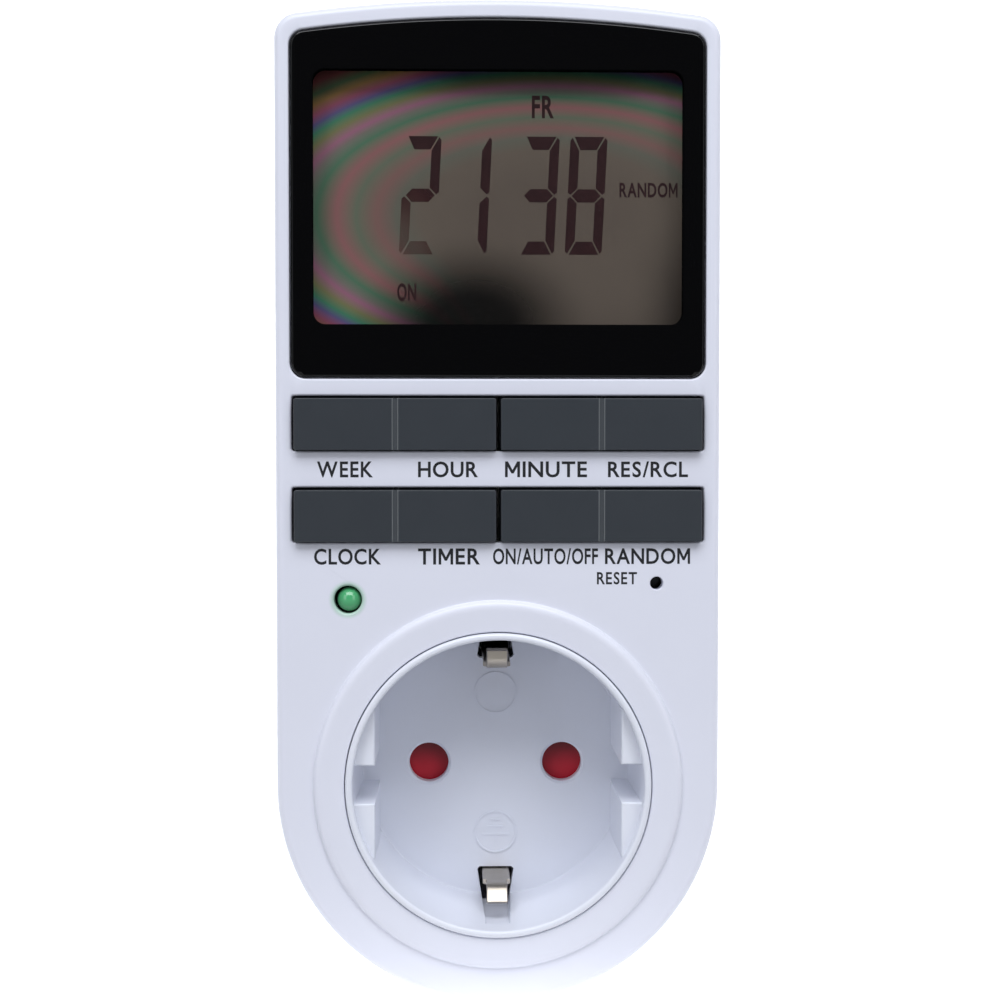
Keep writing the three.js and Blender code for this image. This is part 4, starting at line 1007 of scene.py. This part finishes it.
def segment_shapes():
    """The seven segments of a digit in its own upright frame, each as a list of corners."""
    w = DIGIT_WIDTH
    h = DIGIT_HEIGHT
    m = h / 2
    g = MITRE
    top = [(0.55, h), (w - 0.45, h), (w - STEM - g, h - BEAM), (STEM + g, h - BEAM)]
    right_top = [(w - 0.28, h - 0.12), (w, h - 0.5), (w, m + g + 0.3), (w - 0.35, m + g),
                 (w - STEM, m + BEAM / 2 + g), (w - STEM, h - BEAM - g)]
    middle = [(0.55, m), (STEM + 0.1, m + BEAM / 2), (w - STEM - 0.1, m + BEAM / 2), (w - 0.55, m),
              (w - STEM - 0.1, m - BEAM / 2), (STEM + 0.1, m - BEAM / 2)]
    left_top = [(w - x, z) for x, z in right_top]
    right_low = [(x, h - z) for x, z in right_top]
    left_low = [(w - x, z) for x, z in right_low]
    bottom = [(x, h - z) for x, z in top]
    return {"a": top, "b": right_top, "c": right_low, "d": bottom, "e": left_low, "f": left_top, "g": middle}


LIT = {"1": "bc", "2": "abged", "3": "abgcd", "8": "abcdefg"}


def add_polygon(part, corners, front, back):
    loops = [part.level(corners, y) for y in (front, back)]
    part.wall(*loops)
    part.faces += [tuple(loop) for loop in loops]


def digits(name, places):
    part = Moulding()
    shapes = segment_shapes()
    for digit, left in places:
        for letter in LIT[digit]:
            corners = [(left + x + z * LEAN, DIGIT_BASE + z) for x, z in shapes[letter]]
            add_polygon(part, corners, INK_Y - INK, INK_Y + INK)
    return part.mesh(name)


def segment_finish():
    finish = Finish("lcd_segments", srgb(44, 24, 26), 0.3)
    x, _, z = finish.where()
    # Painted reflection: the first digit is made fainter towards its foot.
    sideways = (x + 12.5 * MM) / (7 * MM)
    upward = (z - 69.0 * MM) / (13 * MM)
    reflection_fade = 1 - finish.ramp((sideways * sideways + upward * upward) ** 0.5, 0.3, 1.1)
    solid = 1 - reflection_fade * finish.ramp(z, 67.5 * MM, 69.0 * MM)
    dark = finish.mix(finish.noise(2.0), srgb(40, 22, 24), srgb(50, 27, 29))
    finish.drive("Alpha", 0.34 + 0.62 * solid)
    finish.drive("Base Color", finish.mix(solid, srgb(72, 26, 30), dark))
    return finish


segments = segment_finish()
place(digits("lcd_digits", [("2", -13.25), ("1", -6.5), ("3", 2.55), ("8", 8.95)]),
      "lcd_digits", segments)


# %% [markdown]
# ## Printed words
# Every word is a plain function word. It is made as a thin layer of ink, as wide and tall as such print is,
# that sits a hundredth of a millimetre proud. The letters are placed one by one, each with its own measured
# width and a small gap after it, so that the heavy strokes never run together. Letters with an open side sit
# a little closer. The M is drawn here, because its strokes would close up when they are thickened.

# %% Words
LETTER_GAP = 0.12
OPEN_BEFORE = {"A": 0.05, "/": 0.04, "C": 0.02, "O": 0.02, "T": 0.02}
OPEN_AFTER = {"R": 0.05, "A": 0.05, "/": 0.04, "L": 0.04, "K": 0.03, "T": 0.02, "F": 0.02, "O": 0.02}
STROKE = 0.018
CAP_HEIGHT = 0.682
INK_HALF = 0.02
M_SHAPE = [(0, 0), (0.17, 0), (0.17, 0.66), (0.40, 0.24), (0.54, 0.24), (0.77, 0.66), (0.77, 0), (0.94, 0),
           (0.94, 1), (0.76, 1), (0.47, 0.46), (0.18, 1), (0, 1)]
letter_store = {}


def drawn_m(bold):
    """The letter M as points and faces, as tall as the thickened letters of the typeface."""
    tall = CAP_HEIGHT + 2 * bold
    count = len(M_SHAPE)
    points = [(x * tall, z * tall - bold, depth) for depth in (INK_HALF, -INK_HALF) for x, z in M_SHAPE]
    sides = [(i, (i + 1) % count, (i + 1) % count + count, i + count) for i in range(count)]
    return points, [tuple(range(count)), tuple(range(count, 2 * count)), *sides]


def typeface_letter(character, bold):
    """A letter of the built-in typeface with its strokes thickened, as points and faces."""
    curve = bpy.data.curves.new("letter", "FONT")
    curve.body = character
    curve.size = 1.0
    curve.extrude = INK_HALF
    curve.offset = bold
    curve.resolution_u = 4
    shape = bpy.data.objects.new("letter", curve)
    bpy.context.scene.collection.objects.link(shape)
    bpy.context.view_layer.update()
    mesh = bpy.data.meshes.new_from_object(shape.evaluated_get(bpy.context.evaluated_depsgraph_get()))
    points = [tuple(vert.co) for vert in mesh.vertices]
    faces = [tuple(face.vertices) for face in mesh.polygons]
    bpy.data.objects.remove(shape, do_unlink=True)
    bpy.data.meshes.remove(mesh)
    return points, faces


def letter(character, bold):
    """A letter that starts at x = 0, and its width."""
    key = (character, bold)
    if key not in letter_store:
        points, faces = drawn_m(bold) if character == "M" else typeface_letter(character, bold)
        start = min(p[0] for p in points)
        width = max(p[0] for p in points) - start
        letter_store[key] = ([(x - start, z, depth) for x, z, depth in points], faces, width)
    return letter_store[key]


def word(text, name, centre, low, high, width, y, finish, bold=STROKE):
    """A word as a thin closed mesh, fitted to a width and to a height between low and high."""
    part = Moulding()
    pen = 0.0
    for character in text:
        points, faces, advance = letter(character, bold)
        pen -= OPEN_BEFORE.get(character, 0)
        ids = part.loop([(pen + x, depth, z) for x, z, depth in points])
        part.faces += [tuple(ids[v] for v in face) for face in faces]
        pen += advance + LETTER_GAP - OPEN_AFTER.get(character, 0)
    xs = [p[0] for p in part.points]
    zs = [p[2] for p in part.points]
    across = width / (max(xs) - min(xs))
    tall = (high - low) / (max(zs) - min(zs))
    part.points = [
        (centre - width / 2 + (x - min(xs)) * across, y - 0.5 * depth, low + (z - min(zs)) * tall)
        for x, depth, z in part.points
    ]
    return place(part.mesh(name), name, finish)


def ink_finish(name, colour):
    finish = Finish(name, colour, 0.5)
    lighter = tuple(min(c * 1.5 + 0.004, 1.0) for c in colour[:3]) + (1.0,)
    finish.drive("Base Color", finish.mix(finish.noise(0.5), colour, lighter))
    return finish


print_ink = ink_finish("print_ink", srgb(13, 15, 21))
LEGENDS = [
    ("WEEK", -20.33, 41.06, 43.18, 7.40), ("HOUR", -6.69, 41.06, 43.18, 7.95),
    ("MINUTE", 6.33, 41.06, 43.18, 10.91), ("RES/RCL", 19.92, 41.06, 43.18, 10.68),
    ("CLOCK", -20.03, 29.48, 31.62, 8.86), ("TIMER", -6.57, 29.48, 31.62, 8.23),
    ("ON/AUTO/OFF", 6.27, 29.48, 31.62, 13.99), ("RANDOM", 19.89, 29.48, 31.62, 11.37),
    ("RESET", 15.81, 26.78, 28.45, 5.35),
]
for text, centre, low, high, width in LEGENDS:
    safe = text.lower().replace("/", "_")
    word(text, f"legend_{safe}", centre, low, high, width, FRONT, print_ink)
for text, centre, low, high, width in [
    ("FR", 6.01, 89.0, 92.0, 2.94), ("RANDOM", 20.2, 78.5, 80.5, 7.8), ("ON", -12.2, 64.6, 67.0, 2.55),
]:
    word(text, f"lcd_{text.lower()}", centre, low, high, width, INK_Y, segments, 0.026)

# %% [markdown]
# ## Lamp, pins and contacts
# The lamp is a small epoxy dome. The plug's pins are solid, with rounded ends polished by use. The earth
# contacts are strips of nickel-plated spring bronze, bent to a nose that meets the plug.

# %% Lamp and pins
def lamp_finish():
    finish = Finish("led_green", srgb(60, 158, 98), 0.12, IOR=1.5, Coat_Weight=0.5, Coat_Roughness=0.04)
    depth = finish.where()[1]
    # Painted shade: the dome is lighter at its front and darker deeper in its hole.
    hole_depth_shade = finish.ramp(depth, (FRONT - 0.3) * MM, (FRONT + 1.6) * MM)
    finish.drive("Base Color", finish.mix(hole_depth_shade, srgb(82, 176, 118), srgb(30, 96, 58)))
    finish.drive("Roughness", 0.08 + 0.08 * finish.noise(1.0))
    return finish


LED_RADIUS = 1.62
LED_OFFSET = 0.15
dome = [
    (LED_RADIUS * math.sin(a) + 0.02, led_low.y + LED_RADIUS * (1 - math.cos(a)))
    for a in [math.pi / 2 * i / 10 for i in range(11)]
]
LED_FOOT = FRONT + 5
collar_of_lamp = [(1.85, LED_FOOT - 0.95), (1.85, LED_FOOT - 0.05), (1.8, LED_FOOT)]
lamp_profile = [*dome, (LED_RADIUS, LED_FOOT - 1), *collar_of_lamp]
lamp = temporary(turned("status_led_dome", LED_X + LED_OFFSET, LED_Z, lamp_profile, 48))
leads = [
    temporary(bar("lead", (LED_X + s * 1.27 - 0.25, LED_FOOT - 0.3, LED_Z - 0.25),
                  (LED_X + s * 1.27 + 0.25, led_high.y, LED_Z + 0.25), 0.05))
    for s in (-1, 1)
]
combine(lamp, leads, "UNION")
place(lamp, "status_led_dome", lamp_finish(), replaces=["status_led"])

for name in ("live", "neutral"):
    low, high = (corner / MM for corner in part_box(f"plug_pin_{name}"))
    side = -1 if name == "live" else 1
    tip = [(2.4 - 1.5 * (1 - math.sin(a)), high.y - 1.5 * (1 - math.cos(a)))
           for a in [math.pi / 2 * i / 8 for i in range(8, -1, -1)]]
    profile = [(1.9, low.y), (1.9, -4.45), (3.5, -4.4), (3.6, -4.3), (3.6, -3.3), (2.4, -3.25), *tip]
    pin = turned(f"plug_pin_{name}_turned", side * PIN_X, 0, profile, 48)
    place(pin, f"plug_pin_{name}_turned", nickel_finish, replaces=[f"plug_pin_{name}"])

# %% [markdown]
# The strips are drawn as a bent centre line with a thickness. Rounded bends come from cutting each corner of
# the line with a short arc, as a press brake does.

# %% Earth contacts
clip_low, clip_high = (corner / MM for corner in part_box("socket_earth_clip"))
STRIP = 0.7


def rounded_path(points, radius, steps=5):
    """Replaces each corner of a path by a smooth curve."""
    path = [Vector(points[0])]
    for before, corner, after in zip(points, points[1:], points[2:]):
        corner = Vector(corner)
        back = (Vector(before) - corner)
        ahead = (Vector(after) - corner)
        start = corner + back.normalized() * min(radius, back.length / 2)
        end = corner + ahead.normalized() * min(radius, ahead.length / 2)
        for i in range(steps + 1):
            t = i / steps
            path.append(start.lerp(corner, t).lerp(corner.lerp(end, t), t))
    path.append(Vector(points[-1]))
    return path


def strip(name, points, widths, thickness, bend=0.8, edge=0.12):
    """A bent strip. points are (y, z), widths are half widths along its length as (share, half)."""
    path = rounded_path(points, bend)
    lengths = [0.0]
    for a, b in zip(path, path[1:]):
        lengths.append(lengths[-1] + (b - a).length)
    part = Moulding()
    loops = []
    for i, point in enumerate(path):
        along = (path[min(i + 1, len(path) - 1)] - path[max(i - 1, 0)]).normalized()
        normal = Vector((-along.y, along.x)) * thickness / 2
        share = lengths[i] / lengths[-1]
        half = next(h for limit, h in widths if share <= limit)
        section = []
        for x, n in ((-half, -1), (half, -1), (half, 1), (-half, 1)):
            for dx, dn in ((1, 0), (0, 1)) if (x < 0) == (n > 0) else ((0, 1), (1, 0)):
                px = x - math.copysign(edge, x) * dx
                scale = 1 - (edge * 2 / thickness) * dn
                section.append((px, point.x + normal.x * n * scale, point.y + normal.y * n * scale))
        loops.append(part.loop(section))
    part.wall(*loops)
    part.faces += [tuple(loops[0]), tuple(loops[-1])]
    return part.mesh(name)


ARM = clip_high.z - STRIP / 2 - 0.05
NOSE = RECESS - 4.85 + STRIP / 2
TIP = clip_low.y
BACK = clip_high.y - STRIP / 2 - 0.05
LOWER_ARM_SHIFT = 0.7
BEHIND_SLOT = SLOT_INNER + STRIP / 2 + 0.15


def clip_arm(nose, flare):
    """Half of the strip, from its free tip over the nose to its foot, as (y, height)."""
    return [
        (TIP + 0.35, nose + flare), (TIP + 1.1, nose + 0.9), (TIP + 2.0, nose), (TIP + 3.6, nose),
        (FLOOR - 1.2, BEHIND_SLOT), (FLOOR_BACK + 0.6, BEHIND_SLOT + 0.15), (FLOOR_BACK + 4.5, ARM),
        (BACK, ARM),
    ]


upper_arm = clip_arm(NOSE, 2.4)
lower_arm = clip_arm(NOSE + LOWER_ARM_SHIFT, 1.9)
line = upper_arm + [(y, -z) for y, z in reversed(lower_arm)]
line_length = sum((Vector(b) - Vector(a)).length for a, b in zip(line, line[1:]))
tip_length = sum((Vector(b) - Vector(a)).length for a, b in zip(upper_arm[:4], upper_arm[1:4]))
narrow = tip_length / line_length
clip = strip("socket_earth_spring", line, [(narrow, 1.45), (1 - narrow, 1.9), (1.0, 1.45)], STRIP, 0.6)
place(clip, "socket_earth_spring", clip_finish, replaces=["socket_earth_clip"])

plug_low, plug_high = (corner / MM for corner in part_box("plug_earth_clip"))
PLUG_ARM = plug_high.z - 0.35
plug_line = [(plug_high.y, PLUG_ARM), (plug_low.y + 0.35, PLUG_ARM), (plug_low.y + 0.35, -PLUG_ARM),
             (plug_high.y, -PLUG_ARM)]
plug_strip = strip("plug_earth_strip", plug_line, [(1.0, 2.0)], 0.65)
place(plug_strip, "plug_earth_strip", nickel_finish, replaces=["plug_earth_clip"])

# %% [markdown]
# ## The safety shutter
# A red rotor on a post of the insert. Its two blades lie behind the pin holes, so a child can't reach the
# contacts, and two pins that enter together turn it aside. Its fronts are flat and its rims rounded.

# %% Shutter
rotor_low, rotor_high = (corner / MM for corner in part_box("shutter_rotor"))
HUB = 4.2
BLADE_HALF_ANGLE = math.radians(20)
BLADE_REACH = rotor_high.x
ROTOR_BORE = 1.62
RELIEF = 5.0


def rotor_outline(inset):
    """A round hub with a blade on each side."""
    hub = HUB - inset
    reach = BLADE_REACH - inset
    half = BLADE_HALF_ANGLE - inset / reach
    right = arc(0, 0, reach, -half, half, 16)
    top = arc(0, 0, hub, half, math.pi - half, 24)
    left = arc(0, 0, reach, math.pi - half, math.pi + half, 16)
    bottom = arc(0, 0, hub, math.pi + half, 2 * math.pi - half, 24)
    return right + top + left + bottom


def shade_blades(finish):
    """Paints the blades darker towards the top, like the shade deep in a pin hole. It turns with them."""
    height = finish.where()[2]
    upper = finish.ramp(height, -1.6 * MM, 2.6 * MM)
    plain = Value(finish, finish.shader.inputs["Base Color"].links[0].from_socket)
    finish.drive("Base Color", finish.mix(0.82 * upper, plain, srgb(84, 14, 24)))


shutter_finish = moulded("shutter_red", srgb(206, 26, 50), 0.38, tone=0.02)
shade_blades(shutter_finish)
rotor = temporary(slab("shutter_rotor_moulding", rotor_outline, rotor_low.y, rotor_high.y, 0.3))
bore = cylinder(0, 0, ROTOR_BORE, rotor_low.y - 1, rotor_high.y + 1)
relief = cylinder(0, 0, RELIEF, rotor_low.y + 1.5, rotor_high.y + 1)
combine(rotor, [bore, relief], "DIFFERENCE")
place(rotor, "shutter_rotor_moulding", shutter_finish, "shutter", ["shutter_rotor"])

# %% [markdown]
# ## Screws
# Every screw is a pan head with a cross recess on a plain shank. One function makes them all from the place
# and the direction of the loaded screw.

# %% Screws
def screw_mesh(node):
    low, high = (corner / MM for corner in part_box(node))
    x = (low.x + high.x) / 2
    z = (low.z + high.z) / 2
    head = (high.x - low.x) / 2
    large = node.startswith("case")
    shank = 1.3 if large else 0.9
    tall = 1.9 if large else 1.3
    facing_rear = not node.startswith("power")
    top, end, way = (high.y, low.y, 1) if facing_rear else (low.y, high.y, -1)
    crown = [(head * math.sin(a), top - way * tall * 0.5 * (1 - math.cos(a)))
             for a in [math.pi / 2 * i / 6 for i in range(1, 7)]]
    seat = top - way * tall
    profile = [*crown, (head, seat), (shank, seat), (shank, end + way * shank), (0.15, end)]
    body = temporary(turned(node, x, z, profile, 32))
    arm = head * 0.55
    thin = head * 0.13
    depth = tall * 0.62
    ys = sorted((top + way * 0.2, top - way * depth))
    cross = [
        temporary(bar("cross", (x - a, ys[0], z - b), (x + a, ys[1], z + b)))
        for a, b in ((arm, thin), (thin, arm))
    ]
    combine(body, cross, "DIFFERENCE")
    return body


screws = sorted(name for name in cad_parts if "screw" in name)
for node in screws:
    place(screw_mesh(node), f"{node}_cross_head", steel_finish, replaces=[node])
print(len(screws), "screws")

# %% [markdown]
# ## The rest of the inside
# The pieces nobody sees keep the engineering shapes. Each takes the finish of its material slot, so that an
# opened case looks right too.

# %% Finishes for the remaining nodes
SLOT_FINISH = {
    "holder_white": holder_finish, "zebra_pink": zebra_finish, "silicone_grey": silicone_finish,
    "board_green": board_finish, "epoxy_black": epoxy_finish, "switch_grey": switch_finish,
    "steel": steel_finish, "nickel": nickel_finish, "brass": brass_finish, "carrier_grey": carrier_finish,
    "relay_blue": relay_finish, "capacitor_red": capacitor_finish, "sleeve_black": sleeve_finish,
    "varistor_blue": varistor_finish, "resistor_blue": resistor_finish, "wire_brown": brown_finish,
    "wire_blue": blue_finish, "ribbon_grey": ribbon_finish,
}
NODE_SLOTS = {
    "holder_white": ["lcd_holder"], "zebra_pink": ["zebra_strip_top", "zebra_strip_bottom"],
    "silicone_grey": ["keypad_mat"], "board_green": ["control_board", "power_board"],
    "epoxy_black": ["controller_chip", "reset_button", "rectifier"], "switch_grey": ["reset_switch"],
    "steel": ["clock_crystal", "backup_battery", "shutter_spring"],
    "nickel": ["battery_tab_negative", "battery_tab_positive"],
    "brass": ["live_contact", "neutral_contact", "earth_rivet"],
    "carrier_grey": ["shutter_plate", "contact_carrier", "pin_retainer"], "relay_blue": ["relay"],
    "capacitor_red": ["dropper_capacitor"], "sleeve_black": ["smoothing_capacitor"],
    "varistor_blue": ["varistor"], "resistor_blue": ["fuse_resistor"],
    "wire_brown": ["wire_live_in", "wire_live_out"], "wire_blue": ["wire_neutral", "wire_neutral_out"],
    "ribbon_grey": ["ribbon_cable"],
}
for slot_name, nodes in NODE_SLOTS.items():
    for node in nodes:
        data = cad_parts[node].data
        data.materials.clear()
        data.materials.append(SLOT_FINISH[slot_name].material)
print("finishes given to", sum(len(nodes) for nodes in NODE_SLOTS.values()), "nodes")

# %% [markdown]
# ## The studio
# A plain white sweep with no visible corner, and large soft lights from above, from the left and from the
# right. Nothing bright stands straight ahead of the glossy window, so the window stays black.

# %% Floor and backdrop
ground = cad_low.z
SWEEP_HALF = 2.5
sweep = bpy.data.meshes.new("studio_sweep")
bend = 0.4
depth_line = [(-0.6, 0.0), (0.35, 0.0)]
depth_line += [(0.35 + bend * math.sin(a), bend * (1 - math.cos(a))) for a in
               [math.pi / 2 * i / 12 for i in range(1, 13)]]
depth_line.append((0.35 + bend, 2.2))
sweep_points = [(x, y, ground + z) for y, z in depth_line for x in (-SWEEP_HALF, SWEEP_HALF)]
sweep_faces = [(2 * i, 2 * i + 1, 2 * i + 3, 2 * i + 2) for i in range(len(depth_line) - 1)]
sweep.from_pydata(sweep_points, [], sweep_faces)
sweep.polygons.foreach_set("use_smooth", [True] * len(sweep.polygons))
studio_floor = temporary(sweep)
floor_finish = Finish("studio_white", srgb(250, 250, 250), 0.9)
depth_here = floor_finish.where()[1]
behind = floor_finish.ramp(depth_here, -0.08, -0.054)
floor_finish.drive("Base Color", floor_finish.mix(behind, (0.34, 0.34, 0.34, 1.0), (0.95, 0.95, 0.95, 1.0)))
floor_finish.shader.inputs["Emission Strength"].default_value = 0.5
floor_finish.drive("Emission Color", floor_finish.mix(behind, (0.02, 0.02, 0.02, 1.0), (1.0, 1.0, 1.0, 1.0)))
floor_finish.drive("Roughness", 0.85 + 0.1 * floor_finish.noise(40.0))
sweep.materials.append(floor_finish.material)


# %% Lights
def area_light(name, position, target, size, power, colour=(1.0, 1.0, 1.0)):
    lamp_data = bpy.data.lights.new(name, "AREA")
    lamp_data.shape = "RECTANGLE"
    lamp_data.size = size[0]
    lamp_data.size_y = size[1]
    lamp_data.energy = power
    lamp_data.color = colour
    holder = bpy.data.objects.new(name, lamp_data)
    bpy.context.scene.collection.objects.link(holder)
    holder.location = position
    holder.rotation_euler = (Vector(target) - Vector(position)).to_track_quat("-Z", "Y").to_euler()
    return holder


COOL = (0.94, 0.96, 1.0)
area_light("top_soft", (0.0, -0.62, 0.9), (0, -0.03, 0.04), (1.1, 0.6), 11.0, COOL)
area_light("left_soft", (-0.7, -0.8, 0.32), (0, -0.03, 0.04), (0.5, 0.9), 2.4, COOL)
area_light("right_soft", (0.7, -0.8, 0.32), (0, -0.03, 0.04), (0.5, 0.9), 2.4, COOL)
area_light("left_rim", (-0.75, 0.18, 0.1), (0, -0.04, 0.03), (0.5, 0.9), 0.9, COOL)
area_light("right_rim", (0.75, 0.18, 0.1), (0, -0.04, 0.03), (0.5, 0.9), 0.9, COOL)
world = bpy.data.worlds.new("studio_air")
world.use_nodes = True
bpy.context.scene.world = world
background = next(n for n in world.node_tree.nodes if n.type == "BACKGROUND")
background.inputs["Color"].default_value = (0.9, 0.93, 1.0, 1.0)
background.inputs["Strength"].default_value = 0.05

# %% [markdown]
# ## The camera
# A normal lens a little above the socket's axis, turned slightly to the right and down.

# %% Camera
camera_data = bpy.data.cameras.new("camera")
camera = bpy.data.objects.new("camera", camera_data)
bpy.context.scene.collection.objects.link(camera)
camera_data.lens = 61.02
camera_data.sensor_width = 36.0
camera_data.clip_start = 0.01
camera.location = Vector((-6.03, -280.3, 45.36)) * MM
YAW = math.radians(1.588)
PITCH = math.radians(1.858)
ahead = Vector((math.sin(YAW) * math.cos(PITCH), math.cos(YAW) * math.cos(PITCH), -math.sin(PITCH)))
camera.rotation_euler = ahead.to_track_quat("-Z", "Y").to_euler()
bpy.context.scene.camera = camera
bpy.context.scene.view_settings.view_transform = "Standard"
bpy.context.scene.view_settings.look = "None"
